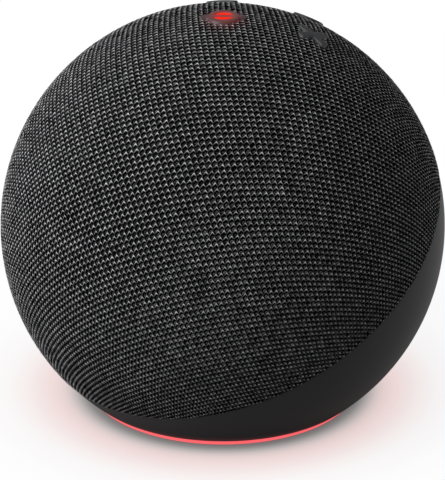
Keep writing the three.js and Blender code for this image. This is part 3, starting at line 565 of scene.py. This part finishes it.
# The knit: an openwork net of hexagonal loops over a dark lining, lengths in millimetres
knitLook = {
    "stepA": (1.132, 0.7186), "stepB": (0.8868, -1.0075),  # flat lattice steps
    "axisElevation": 55.66, "axisAzimuth": 9.27,  # where the flat net touches the ball
    "stretch": 0.0102,  # radial ease of the net towards its rim
    "sheetRadius": 94.0, "netRise": 0.12,
    "arch": 0.14, "lean": -0.375,  # how far the apexes are pulled up, and which way that is
    "crest": 0.03, "valley": -0.07,  # apexes and dips of the loops
    "shoulder": (0.915, 0.865), "shoulderDrop": -0.02, "shoulderLean": 0.03,  # at dips, at apexes
    "throat": (0.84, 0.79), "throatDrop": -0.14, "thickness": 0.30,
    # The loops' two side legs get a weaker painted highlight than their arcs
    "jitter": 0.045, "seed": 7, "legHighlight": 0.34,
    "crownHighlights": ((0.16, 1.0), (0.12, 0.94), (0, 0), (0, 0)),  # painted highlight at the dips and apexes
    "weld": 0.02, "hem": -0.15,  # joins the loops, and tucks the sheet's open edge under
    "pileEye": ((0.34, 0.0), (0.15, 0.13), (-0.16, 0.12), (-0.34, 0.0), (-0.15, -0.13),
                (0.16, -0.12)),
    "pileDepth": 0.17, "pileWidth": 0.08, "pileHeight": 0.08, "pileFoot": -0.08, "pileTurn": 66,
    "pileTurnSpread": 0.45, "pileSizeSpread": 0.3, "pileFromSplit": 0.35,
    "splitOffset": -6.3,
}


# Corners of a loop, each in the middle of three neighbours, with the apexes pulled up
def loopCorners(look):
    a, b = Vector(look["stepA"]), Vector(look["stepB"])
    around = [a, a - b, -b, -a, b - a, b]
    upwards = Vector((math.sin(look["lean"]), math.cos(look["lean"]))) * look["arch"]
    return [(around[i] + around[(i + 1) % 6]) / 3 + (upwards if i % 2 else -upwards)
            for i in range(6)]


# One loop of the net: crest, shoulder, throat and underside around an open hole
def loopMesh(look):
    corners = loopCorners(look)
    lean = corners[1].normalized() * look["shoulderLean"]
    vertices = []
    for i, corner in enumerate(corners):
        height = look["crest"] if i % 2 else look["valley"]
        vertices.append((corner.x, corner.y, height))
    rings = (
        (look["shoulder"], look["shoulderDrop"], lean),
        (look["throat"], look["throatDrop"], lean),
        ((1.0, 1.0), -look["thickness"], Vector((0, 0))),
    )
    for scales, drop, shift in rings:
        for i, corner in enumerate(corners):
            inner = corner * scales[i % 2] - shift
            vertices.append((inner.x, inner.y, drop))
    faces = []
    # Painted highlight per face: full on the crest's arcs, weaker on its two side legs, none on the
    # inner walls and underside
    arcHighlights = []
    for ring in range(3):
        for i in range(6):
            j = (i + 1) % 6
            low, high = 6 * ring, 6 * (ring + 1)
            faces.append((low + i, low + j, high + j, high + i))
            arcHighlights.append(0.0 if ring else look["legHighlight"] if i in (2, 5) else 1.0)
    vertices = [Vector(v) * mm for v in vertices]
    loop = meshObject("netLoop", vertices, faces, materials["yarn"])
    loop.data.attributes.new("arc", "FLOAT", "FACE").data.foreach_set("value", arcHighlights)
    # Painted highlight at each corner of the loop, brightest at the apexes of the crest
    crownHighlights = [look["crownHighlights"][ring][i % 2] for ring in range(4) for i in range(6)]
    loop.data.attributes.new("crown", "FLOAT", "POINT").data.foreach_set("value", crownHighlights)
    return loop


# A flat slanted eye of pile yarn that shows in each hole
def pileMesh(look):
    vertices = []
    for x, y in look["pileEye"]:
        away = Vector((x, y)).normalized() * look["pileWidth"]
        vertices += [(x - away.x, y - away.y, look["pileFoot"]), (x, y, look["pileHeight"]),
                     (x + away.x, y + away.y, look["pileFoot"])]
    faces = []
    for i in range(6):
        j = (i + 1) % 6
        for a, b in ((0, 1), (1, 2), (2, 0)):
            faces.append((3 * i + a, 3 * i + b, 3 * j + b, 3 * j + a))
    vertices = [Vector(v) * mm for v in vertices]
    eye = meshObject("pileEye", vertices, faces, materials["pile"])
    outwards(eye)
    return eye


# A geometry tree with named inputs: its graph, a wire and an identifier for each
def newTree(name, kinds):
    tree = bpy.data.node_groups.new(name, "GeometryNodeTree")
    identifiers = {}
    for label, kind in kinds.items():
        socket = tree.interface.new_socket(label, in_out="INPUT", socket_type="NodeSocket" + kind)
        identifiers[label] = socket.identifier
    tree.interface.new_socket("Geometry", in_out="OUTPUT", socket_type="NodeSocketGeometry")
    graph = Graph(tree)
    entry = tree.nodes.new("NodeGroupInput")
    given = {label: Wire(graph, entry.outputs[i]) for i, label in enumerate(kinds)}
    return graph, given, identifiers


# Runs a tree once on an object, which keeps the mesh that comes out
def runTree(thing, graph, identifiers, values):
    nodes = thing.modifiers.new("tree", "NODES")
    nodes.node_group = graph.tree
    for label, value in values.items():
        nodes[identifiers[label]] = value
    settled(thing)
    bpy.data.node_groups.remove(graph.tree)


# Copies one cell over the flat lattice, then lays the sheet on the ball; a welded sheet is one
# net, an unwelded one is loose cells that each turn and grow a little
def knitTree(name, look, welded):
    graph, given, identifiers = newTree(name, {
        "Cell": "Object", "Step A": "Vector", "Step B": "Vector", "Rows": "Int",
        "Sheet Radius": "Float", "Ball Radius": "Float", "Stretch": "Float", "Jitter": "Float",
        "Seed": "Int", "Turn": "Float", "Material": "Material",
    })

    def vectorMath(operation, first, second=None, scale=None, output=0):
        return graph.add("ShaderNodeVectorMath", {"operation": operation},
                         {0: first, 1: second, 3: scale}, output)

    def random(low, high, seed, kind="FLOAT"):
        single = kind == "FLOAT"
        return graph.add("FunctionNodeRandomValue", {"data_type": kind}, {
            2 if single else 0: low, 3 if single else 1: high, "Seed": seed}, int(single))

    def split(vector):
        return [graph.add("ShaderNodeSeparateXYZ", None, (vector,), i) for i in range(3)]

    def moved(geometry, **fields):
        return graph.add("GeometryNodeSetPosition", None, {"Geometry": geometry, **fields})

    def merged(geometry):
        return graph.add("GeometryNodeMergeByDistance", None,
                         {"Geometry": geometry, "Distance": look["weld"] * mm})

    position = graph.add("GeometryNodeInputPosition")
    grid = graph.add("GeometryNodeMeshGrid", None, (
        given["Rows"] - 1, given["Rows"] - 1, given["Rows"], given["Rows"]))
    column, row, _ = split(position)
    onSheet = vectorMath(
        "ADD",
        vectorMath("SCALE", given["Step A"], scale=column),
        vectorMath("SCALE", given["Step B"], scale=row),
    )
    lattice = moved(grid, Position=onSheet)
    reach = vectorMath("LENGTH", position, output=1)
    inside = graph.add("FunctionNodeCompare", {"data_type": "FLOAT", "operation": "LESS_THAN"},
                       {0: reach, 1: given["Sheet Radius"]})
    shape = graph.add("GeometryNodeObjectInfo", None, (given["Cell"],), "Geometry")
    placing = {"Points": lattice, "Selection": inside, "Instance": shape}
    if not welded:
        turn = given["Turn"] + random(-1.0, 1.0, given["Seed"]) * look["pileTurnSpread"]
        size = 1.0 + look["pileSizeSpread"] * random(-1.0, 1.0, given["Seed"] + 5)
        placing["Rotation"] = graph.add("ShaderNodeCombineXYZ", None, {2: turn})
        placing["Scale"] = vectorMath("SCALE", (1.0, 1.0, 1.0), scale=size)
    copies = graph.add("GeometryNodeInstanceOnPoints", None, placing)
    tone = random(0.0, 1.0, given["Seed"] + 1)
    toned = graph.add("GeometryNodeStoreNamedAttribute",
                      {"data_type": "FLOAT", "domain": "INSTANCE"},
                      {"Geometry": copies, "Name": "tone", "Value": tone})
    sheet = graph.add("GeometryNodeRealizeInstances", None, {"Geometry": toned})
    x, y, z = split(position)
    if welded:
        sheet = merged(sheet)
        neighbours = graph.add("GeometryNodeInputMeshEdgeNeighbors")
        rim = graph.add("FunctionNodeCompare", {"data_type": "INT", "operation": "EQUAL"},
                        {2: neighbours, 3: 1})
        rim = graph.add("GeometryNodeFieldOnDomain", {"data_type": "BOOLEAN", "domain": "EDGE"},
                        (rim,))
        pinch = graph.add("ShaderNodeCombineXYZ", None, (x, y, look["hem"] * mm))
        sheet = merged(moved(sheet, Selection=rim, Position=pinch))
        wobble = random((-1.0, -1.0, -1.0), (1.0, 1.0, 1.0), given["Seed"] + 2, "FLOAT_VECTOR")
        sheet = moved(sheet, Offset=vectorMath("SCALE", wobble, scale=given["Jitter"]))

    # Flat to round: angle from the axis out of the flat reach, by the series inverse of its ease
    radius = (x * x + y * y).math("SQRT")
    rho = radius / given["Ball Radius"]
    cube = rho * rho * rho
    ease = given["Stretch"]
    angle = rho - ease * cube + 3 * ease * ease * cube * rho * rho
    height = given["Ball Radius"] + z
    across = angle.math("SINE") * height / radius
    onBall = graph.add("ShaderNodeCombineXYZ", None,
                       (x * across, y * across, angle.math("COSINE") * height))
    whole = graph.add("GeometryNodeRealizeInstances", None,
                      {"Geometry": moved(sheet, Position=onBall)})
    dressed = graph.add("GeometryNodeSetMaterial", None,
                        {"Geometry": whole, "Material": given["Material"]})
    graph.add("NodeGroupOutput", None, (dressed,))
    return graph, identifiers


def knitFrame(look):
    e, a = math.radians(look["axisElevation"]), math.radians(look["axisAzimuth"])
    axis = Vector((math.sin(a) * math.cos(e), -math.cos(a) * math.cos(e), math.sin(e)))
    right = Vector((math.cos(a), math.sin(a), 0))
    up = axis.cross(right)
    turn = Matrix((right, up, axis)).transposed().to_4x4()
    return Matrix.Translation(ballCentre) @ turn


def knitSheet(name, cell, look, radius, welded, material, turn=0.0):
    graph, identifiers = knitTree(name + "Tree", look, welded)
    thing = placed(bpy.data.objects.new(name, bpy.data.meshes.new(name)))
    stepA, stepB = Vector(look["stepA"]) * mm, Vector(look["stepB"]) * mm
    spacing = abs(stepA.x * stepB.y - stepA.y * stepB.x) / max(stepA.length, stepB.length)
    rows = 2 * int(look["sheetRadius"] * mm / spacing + 2) + 1
    runTree(thing, graph, identifiers, {
        "Cell": cell, "Step A": stepA.to_3d(), "Step B": stepB.to_3d(), "Rows": rows,
        "Sheet Radius": look["sheetRadius"] * mm, "Ball Radius": radius,
        "Stretch": look["stretch"], "Jitter": look["jitter"] * mm, "Seed": look["seed"],
        "Turn": turn, "Material": material,
    })
    thing.data.transform(knitFrame(look))
    discard(cell)
    return thing


def bigBlock(name, low, high, frameMatrix=None):
    corners = [(x, y, z) for x in (low[0], high[0]) for y in (low[1], high[1])
               for z in (low[2], high[2])]
    faces = [(0, 1, 3, 2), (4, 6, 7, 5), (0, 4, 5, 1), (2, 3, 7, 6), (0, 2, 6, 4), (1, 5, 7, 3)]
    return meshObject(name, corners, faces, materials["lining"], frameMatrix)


net = knitSheet("knit_net", loopMesh(knitLook), knitLook, ballRadius + knitLook["netRise"] * mm,
                True, materials["yarn"])
print("net sheet:", len(net.data.polygons), "faces")
wholeNet = twin(net, "whole_net")


# New corners of a cut carry 0 in every attribute: they are read again off the uncut mesh
def restored(thing, uncut, names):
    graph, given, identifiers = newTree("restore", {"Cut": "Geometry", "Uncut": "Object"})
    source = graph.add("GeometryNodeObjectInfo", None, (given["Uncut"],), "Geometry")
    place = graph.add("GeometryNodeInputPosition")
    result = given["Cut"]
    for name in names:
        value = graph.add("GeometryNodeInputNamedAttribute", {"data_type": "FLOAT"}, {"Name": name})
        sample = graph.add("GeometryNodeSampleNearestSurface", {"data_type": "FLOAT"}, {
            "Mesh": source, "Value": value, "Sample Position": place,
        })
        result = graph.add("GeometryNodeStoreNamedAttribute",
                           {"data_type": "FLOAT", "domain": "POINT"},
                           {"Geometry": result, "Name": name, "Value": sample})
    graph.add("NodeGroupOutput", None, (result,))
    runTree(thing, graph, identifiers, {"Uncut": uncut})


# Keeps the copies of a many-part mesh whose middle passes a test
def keptCopies(thing, perCopy, test):
    places = np.empty(len(thing.data.vertices) * 3)
    thing.data.vertices.foreach_get("co", places)
    keep = test(places.reshape(-1, perCopy, 3).mean(axis=1))
    edited(thing, lambda work: bmesh.ops.delete(
        work, geom=[v for v in work.verts if not keep[v.index // perCopy]], context="VERTS"))


def inFrame(points, frameMatrix):
    inverse = np.array(frameMatrix.inverted())
    return points @ inverse[:3, :3].T + inverse[:3, 3]


# The signs: outlines in the button frame, in metres
signLook = {
    "armLength": 8.2 * mm, "armWidth": 1.9 * mm, "corner": 0.45 * mm,
    "dot": 3.6 * mm, "ring": 3.5 * mm, "hole": 2.19 * mm, "lens": 2.04 * mm,
    "slashLength": 10.2 * mm, "slashWidth": 0.98 * mm, "tipWidth": 1.6 * mm, "tipRound": 0.75,
    "proud": 0.6 * mm, "round": 0.36 * mm, "root": 48.55 * mm, "pitch": 0.45 * mm,
    "knitGap": 0.22 * mm, "pileGap": 0.6 * mm, "capRadius": 49.05 * mm,
    "cutFrom": 40 * mm, "cutTo": 60 * mm, "innerCorner": 0.4,
    "lensGap": 0.16 * mm, "lensDrop": 0.1 * mm, "lensRound": 0.2 * mm, "lensRoot": 49.0 * mm,
}


# A polygon with rounded corners and its long edges divided evenly
def roundedOutline(corners, radii, pitch):
    points = []
    count = len(corners)
    for i in range(count):
        before, here, after = (Vector(corners[(i + k) % count]) for k in (-1, 0, 1))
        radius = radii[i]
        if radius:
            inward, outward = (before - here).normalized(), (after - here).normalized()
            reach = radius / math.tan(inward.angle(outward) / 2)
            start, end = here + inward * reach, here + outward * reach
            for k in range(5):
                t = k / 4
                points.append(start * (1 - t) ** 2 + here * (2 * t * (1 - t)) + end * t ** 2)
        else:
            points.append(here)
    finished = []
    for i, point in enumerate(points):
        following = points[(i + 1) % len(points)]
        steps = max(1, math.ceil((following - point).length / pitch))
        finished.extend(point.lerp(following, k / steps) for k in range(steps))
    return finished


def crossOutline(look, grow=0.0, arms=2):
    long, wide = look["armLength"] / 2 + grow, look["armWidth"] / 2 + grow
    corner = look["corner"] + grow
    if arms == 1:
        corners = [(-long, -wide), (long, -wide), (long, wide), (-long, wide)]
        return roundedOutline(corners, [corner] * 4, look["pitch"])
    corners = []
    for quarter in range(4):
        c, s = (1, 0, -1, 0)[quarter], (0, 1, 0, -1)[quarter]
        for x, y in ((long, -wide), (long, wide), (wide, wide)):
            corners.append((x * c - y * s, x * s + y * c))
    radii = [corner, corner, corner * look["innerCorner"]] * 4
    return roundedOutline(corners, radii, look["pitch"])


def onCircle(radius, angles):
    return [Vector((radius * math.cos(angle), radius * math.sin(angle))) for angle in angles]


def circleOutline(radius, count=72):
    return onCircle(radius, [2 * math.pi * i / count for i in range(count)])


def turnedOutline(outline, angle):
    c, s = math.cos(angle), math.sin(angle)
    return [Vector((p.x * c - p.y * s, p.x * s + p.y * c)) for p in outline]


# The arc of a circle above a chord at that height
def arcAbove(radius, chord, steps):
    bite = math.asin(chord / radius)
    return onCircle(radius, [bite + (math.pi - 2 * bite) * k / steps for k in range(steps + 1)])


# The mute sign's rim: a circle with the two ends of the slash standing out of it
def slashedCircle(look, grow=0.0):
    half, tip = look["tipWidth"] / 2 + grow, look["slashLength"] / 2 + grow
    arc = arcAbove(look["ring"] + grow, half, 30)
    side = [Vector((tip, -half)), Vector((tip, half)), *arc]
    corners = turnedOutline(side, 0) + turnedOutline(side, math.pi)
    radii = ([half * look["tipRound"]] * 2 + [0] * len(arc)) * 2
    return turnedOutline(roundedOutline(corners, radii, look["pitch"]), math.pi / 4)


# Half of a disc on one side of the slash
def halfDisc(radius, chord, side):
    return turnedOutline(arcAbove(radius, chord, 32), math.pi / 4 + math.pi * side)


def insetLoop(loop, distance):
    moved = []
    for i, here in enumerate(loop):
        before, after = loop[i - 1], loop[(i + 1) % len(loop)]
        first, second = (here - before).normalized(), (after - here).normalized()
        n1, n2 = Vector((-first.y, first.x)), Vector((-second.y, second.x))
        moved.append(here + (n1 + n2) * (distance / max(0.3, 1 + n1.dot(n2))))
    return moved


# A raised pad that follows the ball: straight sides, rounded top rim, closed top and bottom
def domedPad(name, loops, at, topRadius, low, rim, material, insets=(), steps=4):
    work = bmesh.new()

    def level(point, drop):
        x, y = point.x + at[0], point.y + at[1]
        return Vector((x, y, math.sqrt((topRadius - drop) ** 2 - x * x - y * y)))

    tops, bottoms = [], []
    for loop in loops:
        rings = [[work.verts.new(level(p, topRadius - low)) for p in loop]]
        for k in range(steps + 1):
            phi = math.pi / 2 * k / steps
            moved = insetLoop(loop, rim * (1 - math.cos(phi)))
            rings.append([work.verts.new(level(p, rim * (1 - math.sin(phi)))) for p in moved])
        for inset in insets:
            rings.append([work.verts.new(level(p, 0)) for p in insetLoop(loop, inset)])
        for lower, upper in zip(rings, rings[1:]):
            for i in range(len(loop)):
                j = (i + 1) % len(loop)
                work.faces.new((lower[i], lower[j], upper[j], upper[i]))
        tops.append(rings[-1])
        bottoms.append(rings[0])
    for group in (tops, bottoms):
        edges = []
        for ring in group:
            for i in range(len(ring)):
                edges.append(work.edges.get((ring[i], ring[(i + 1) % len(ring)])))
        bmesh.ops.triangle_fill(work, use_beauty=True, edges=edges)
    bmesh.ops.recalc_face_normals(work, faces=work.faces)
    mesh = bpy.data.meshes.new(name)
    work.to_mesh(mesh)
    work.free()
    mesh.transform(buttonFrame)
    mesh.materials.append(material)
    return placed(bpy.data.objects.new(name, mesh))


# A prism over an outline, used to cut a sign's place out of the knit and its lining
def signCutter(outline, at, levels):
    count = len(outline)
    vertices = [(p.x + at[0], p.y + at[1], level) for level in levels for p in outline]
    faces = [tuple(reversed(range(count))), tuple(range(count, 2 * count))]
    faces += [(i, (i + 1) % count, (i + 1) % count + count, i + count) for i in range(count)]
    return meshObject("signCutter", vertices, faces, materials["lining"], buttonFrame)


def signOutlines(look, grow=0.0):
    return {
        "mute": slashedCircle(look, grow),
        "volume_up": crossOutline(look, grow),
        "volume_down": crossOutline(look, grow, arms=1),
        "action": circleOutline(look["dot"] + grow),
    }


def finishPiece(thing, nodes=(), degrees=35, body="housing"):
    smoothed(thing, degrees)
    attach(thing, body)
    if nodes:
        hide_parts(*nodes)
    print("piece", thing.name, len(thing.data.polygons), "faces")


# The net is cut at the split and round the signs, then into panels
carve(net, bigBlock("splitTool", (-0.2, -0.2, -0.3), (0.2, 0.2, knitLook["splitOffset"] * mm),
                    splitFrame))
liningLook = {  # in millimetres, heights from the split frame's middle
    "outer": 49.45, "inner": 49.28, "hem": 46.6, "hemLow": -6.3, "hemHigh": -5.9,
    "bead": ((49.80, -6.05), (49.92, -6.12), (49.90, -6.22), (49.75, -6.3)),  # radius, height
}


# The dark skin under the net, with a bead along the split and a hem turned in behind it
def makeLining(look):
    return turned("knit_lining", [
        *arcPoints(look["outer"] * mm, 0, polar(look["outer"], look["bead"][0][1]), 48),
        *(ballPoint(radius, height) for radius, height in look["bead"]),
        (look["hem"] * mm, look["hemLow"] * mm),
        (look["hem"] * mm, look["hemHigh"] * mm),
        *arcPoints(look["inner"] * mm, polar(look["inner"], look["hemHigh"]), 0, 48),
    ], 160, materials["lining"], splitFrame, closed=False)


lining = makeLining(liningLook)
for sign, outline in signOutlines(signLook, signLook["knitGap"]).items():
    cutter = signCutter(outline, signPlaces[sign], (signLook["cutFrom"], signLook["cutTo"]))
    carve(net, cutter, kept=True)
    carve(lining, cutter)
print("net cut:", len(net.data.polygons), "faces")

panelLook = {"count": 4, "start": 0.35, "pileParts": 3, "sharp": 60, "pileSharp": 80}
panels = []
for i in range(panelLook["count"]):
    turn = Matrix.Rotation(2 * math.pi * (i + panelLook["start"]) / panelLook["count"], 4, "Z")
    wedge = bigBlock("wedge", (0, 0, -0.2), (0.2, 0.2, 0.2), knitFrame(knitLook) @ turn)
    panel = twin(net, f"knit_net_{i + 1}")
    carve(panel, wedge, "INTERSECT")
    restored(panel, wholeNet, ("crown", "tone"))
    panels.append(panel)
discard(net, wholeNet)

eye = pileMesh(knitLook)
eyeCorners = len(eye.data.vertices)
pile = knitSheet("knit_pile", eye, knitLook, ballRadius - knitLook["pileDepth"] * mm, False,
                 materials["pile"], turn=math.radians(knitLook["pileTurn"]))


# Which points lie inside an outline, by counting the edges that each one's ray crosses
def insideOutline(x, y, outline):
    inside = np.zeros(len(x), dtype=bool)
    for i, here in enumerate(outline):
        before = outline[i - 1]
        if abs(before.y - here.y) > 1e-9:
            slope = (before.x - here.x) / (before.y - here.y)
            crossed = (here.y > y) != (before.y > y)
            inside ^= crossed & (x < here.x + slope * (y - here.y))
    return inside


# The pile stops at the split and just short of each sign
def pileStays(middles):
    low = (knitLook["splitOffset"] + knitLook["pileFromSplit"]) * mm
    stays = inFrame(middles, splitFrame)[:, 2] > low
    places = inFrame(middles, buttonFrame)
    for sign, outline in signOutlines(signLook, signLook["pileGap"]).items():
        x, y = signPlaces[sign]
        stays &= ~insideOutline(places[:, 0] - x, places[:, 1] - y, outline)
    return stays


keptCopies(pile, eyeCorners, pileStays)

for i, panel in enumerate(panels):
    finishPiece(panel, () if i else ["knit_cover"], panelLook["sharp"])
for i in range(panelLook["pileParts"]):
    part = twin(pile, f"knit_pile_{i + 1}")

    def inSector(middles, sector=i):
        places = inFrame(middles, knitFrame(knitLook))
        turn = np.arctan2(places[:, 1], places[:, 0]) / (2 * math.pi) + 0.5
        return np.floor(turn * panelLook["pileParts"] * 0.9999) == sector

    keptCopies(part, eyeCorners, inSector)
    finishPiece(part, (), panelLook["pileSharp"])
discard(pile)
finishPiece(lining)


# A button is its CAD body below and a rounded sign on top
def mergedCopy(node, name):
    copy = twin(frame["nodes"][node], name)
    copy.parent = None
    copy.hide_render = copy.hide_viewport = False
    edited(copy, lambda work: bmesh.ops.remove_doubles(work, verts=work.verts, dist=1e-6))
    for key in list(copy.keys()):
        del copy[key]
    return copy


def ballTool(radius, segments=192):
    return turned("ballTool", arcPoints(radius, 0, math.pi, segments // 2), segments,
                  materials["lining"], Matrix.Translation(ballCentre), closed=False)


def repaint(thing, material):
    thing.data.materials.clear()
    thing.data.materials.append(material)


def trimmedCopy(node, name, radius, material):
    copy = mergedCopy(node, name)
    carve(copy, ballTool(radius), "INTERSECT")
    repaint(copy, material)
    return copy


padTop = ballRadius + signLook["proud"]
outlines = signOutlines(signLook)
padInsets = {"action": (0.8 * mm, 1.5 * mm, 2.3 * mm, 3.0 * mm)}
for sign, at in signPlaces.items():
    material = materials["muteRing" if sign == "mute" else "sign"]
    loops = [outlines[sign]]
    if sign == "mute":
        for side in range(2):
            hole = halfDisc(signLook["hole"], signLook["slashWidth"] / 2, side)
            loops.append(list(reversed(hole)))
    pad = domedPad("pad", loops, at, padTop, signLook["root"], signLook["round"], material,
                   padInsets.get(sign, ()))
    cap = trimmedCopy(f"{sign}_button", f"{sign}_sign", signLook["capRadius"], material)
    carve(cap, pad, "UNION")
    repaint(cap, material)
    finishPiece(cap, [f"{sign}_button"], body=sign)

lens = trimmedCopy("mute_light_guide", "mute_lens", signLook["lensRoot"], materials["lensGlow"])
for side in range(2):
    chord = signLook["slashWidth"] / 2 + signLook["lensGap"]
    half = halfDisc(signLook["lens"], chord, side)
    dome = domedPad("dome", [half], signPlaces["mute"], padTop - signLook["lensDrop"],
                    signLook["root"], signLook["lensRound"], materials["lensGlow"])
    carve(lens, dome, "UNION")
repaint(lens, materials["lensGlow"])
finishPiece(lens, ["mute_light_guide"], body="mute")

# The rear shell is a smooth skin round the CAD shell's inside
shellLook = {
    "radius": 49.9 * mm, "skin": 1.4 * mm, "rim": -6.6 * mm, "rimRound": 0.3 * mm,
    "bottom": 1.48 * mm, "holeRadius": 6.9 * mm, "hole": (0.02, 0.06), "inside": 49.3 * mm,
}


def rearSkin(look):
    rimAngle = polar(look["radius"], look["rim"])
    easing = look["rimRound"] / look["radius"]
    inner = look["radius"] - look["skin"]
    mouth = math.sqrt(inner ** 2 - look["rim"] ** 2)
    edge = look["radius"] * math.sin(rimAngle)
    profile = [
        *arcPoints(look["radius"], math.pi, rimAngle + easing, 96),
        *((edge - inward * look["rimRound"], look["rim"] - down * look["rimRound"])
          for inward, down in ((0.08, 0.35), (0.35, 0.08), (1, 0))),
        *arcPoints(inner, math.atan2(mouth, look["rim"]), math.pi, 96),
    ]
    return turned("rear_skin", profile, 224, materials["shell"], splitFrame, closed=False)


alongY = Matrix.Rotation(math.radians(-90), 4, "X")
jackLow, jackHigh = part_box("power_jack")
jackAxis = Matrix.Translation((0, 0, (jackLow.z + jackHigh.z) / 2)) @ alongY


def rodTool(radius, low, high, frameMatrix, segments=96):
    return turned("rodTool", [(0, low), (radius, low), (radius, high), (0, high)], segments,
                  materials["lining"], frameMatrix, closed=False)


rearShell = rearSkin(shellLook)
carve(rearShell, bigBlock("below", (-0.2, -0.2, -0.2), (0.2, 0.2, shellLook["bottom"])))
carve(rearShell, rodTool(shellLook["holeRadius"], *shellLook["hole"], jackAxis))
innards = trimmedCopy("rear_shell", "innards", shellLook["inside"], materials["shell"])
carve(rearShell, innards, "UNION")
repaint(rearShell, materials["shell"])
finishPiece(rearShell, ["rear_shell"], 30)

# The power inlet is a cup in the shell and a socket behind it
cupLook = {"outer": 6.6 * mm, "inner": 4.6 * mm, "low": jackHigh.y - 1.2 * mm, "high": 0.056,
           "edge": 0.35 * mm, "sunk": 0.05 * mm}


def makeCup(look):
    inner, outer, low, high = (look[key] for key in ("inner", "outer", "low", "high"))
    profile = roundedProfile([(inner, low), (outer, low), (outer, high), (inner, high)],
                             [look["edge"], look["edge"], 0, 0])
    cup = turned("inlet_pocket", profile, 96, materials["shell"], jackAxis)
    carve(cup, ballTool(shellLook["radius"] - look["sunk"], 256), "INTERSECT")
    repaint(cup, materials["shell"])
    finishPiece(cup, ["inlet_cup"])


makeCup(cupLook)

jackLook = {
    "noseRadius": 4.3 * mm, "noseRoot": 0.004, "noseRound": 0.35 * mm, "noseLength": 1.5 * mm,
    "bore": 2.9 * mm, "boreDepth": 9.5 * mm, "boreEnd": 0.06, "bevel": 0.4 * mm,
    "pin": 0.8 * mm, "pinTip": jackHigh.y - 1.0 * mm, "pinRound": 0.6 * mm, "pinGap": 0.02 * mm,
}


def makeJack(look):
    blockHigh = (jackHigh.x, jackHigh.y - look["noseLength"], jackHigh.z)
    block = bigBlock("power_socket", jackLow, blockHigh)
    outwards(block)
    edited(block, lambda work: bmesh.ops.bevel(
        work, geom=work.edges[:], offset=look["bevel"], segments=3, affect="EDGES"))
    tip = jackHigh.y
    nose = turned("nose", roundedProfile([
        (0, tip - look["noseRoot"]), (look["noseRadius"], tip - look["noseRoot"]),
        (look["noseRadius"], tip), (0, tip),
    ], [0, 0, look["noseRound"], 0]), 96, materials["plastic"], jackAxis, closed=False)
    carve(block, nose, "UNION")
    carve(block, rodTool(look["bore"], tip - look["boreDepth"], look["boreEnd"], jackAxis))
    repaint(block, materials["plastic"])
    finishPiece(block, ["power_jack"])
    low, high = tip - look["boreDepth"] + look["pinGap"], look["pinTip"]
    pin = turned("power_pin", roundedProfile([
        (0, low), (look["pin"], low), (look["pin"], high), (0, high),
    ], [0, 0, look["pinRound"], 0]), 48, materials["steel"], jackAxis, closed=False)
    finishPiece(pin)


makeJack(jackLook)

# The light ring lies between the shell's lip and the foot
ringLow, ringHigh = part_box("light_ring")
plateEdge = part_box("base_plate")[1].x
ringShape = {
    "edge": 31.72 * mm, "top": 1.34 * mm,  # the band's upper edge, under the shell's lip
    "toe": 30.42 * mm, "low": 0.04 * mm, "toeWidth": 0.6 * mm,  # its lower edge, round the foot
    "upstand": plateEdge + 1.9 * mm, "upstandIn": plateEdge + 0.3 * mm, "round": 0.2 * mm,
    "edgeRound": 0.12 * mm, "toeRound": 0.1 * mm,
}


# A band that slopes in from the shell's lip to the table, with an upstand behind it
def makeRing(look, low, high):
    out, back, heel = look["upstand"], look["upstandIn"], look["toe"] - look["toeWidth"]
    profile = roundedProfile([
        (look["edge"], look["top"]), (out, look["top"]), (out, high), (back, high),
        (back, low), (heel, low), (heel, look["low"]), (look["toe"], look["low"]),
    ], [look["edgeRound"], 0, look["round"], look["round"], 0, 0, 0, look["toeRound"]])
    return turned("light_band", profile, 256, materials["ringGlow"])


ring = makeRing(ringShape, ringLow.z, ringHigh.z)
finishPiece(ring, ["light_ring"])

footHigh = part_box("rubber_foot")[1]
footShape = {
    "edge": ringShape["toe"] - ringShape["toeWidth"] - 0.15 * mm, "groove": 2.2 * mm,
    "grooveDepth": 0.2 * mm, "round": 0.2 * mm, "rib": 3.4 * mm, "slope": 0.2 * mm,
    "brimIn": 1.2 * mm, "brim": 1.0 * mm, "ribRound": 0.08 * mm, "topRound": 0.1 * mm,
}


# A pad with two raised rings on its underside
def makeFoot(look, high):
    edge, deep, soft = look["edge"], look["grooveDepth"], look["ribRound"]
    profile = roundedProfile([
        (edge - look["rib"] - look["groove"], deep),
        (edge - look["rib"] - look["groove"] + look["slope"], 0),
        (edge - look["rib"], 0),
        (edge - look["rib"] + look["slope"], deep),
        (edge - look["brimIn"], deep),
        (edge - look["brim"], 0),
        (edge, 0),
        (edge, high),
    ], [0, soft, soft, 0, 0, soft, look["round"], look["topRound"]])
    return turned("foot_pad", [(0, deep), *profile, (0, high)], 224, materials["rubber"],
                  closed=False)


foot = makeFoot(footShape, footHigh.z)
finishPiece(foot, ["rubber_foot"])

# The parts that keep their CAD shape get a finish
slotOf = {row["node"]: row["material_slot"] for row in frame["record"]["subparts"]}
for name, node in frame["nodes"].items():
    if not node.hide_render:
        repaint(node, materials[slotOf[name]])
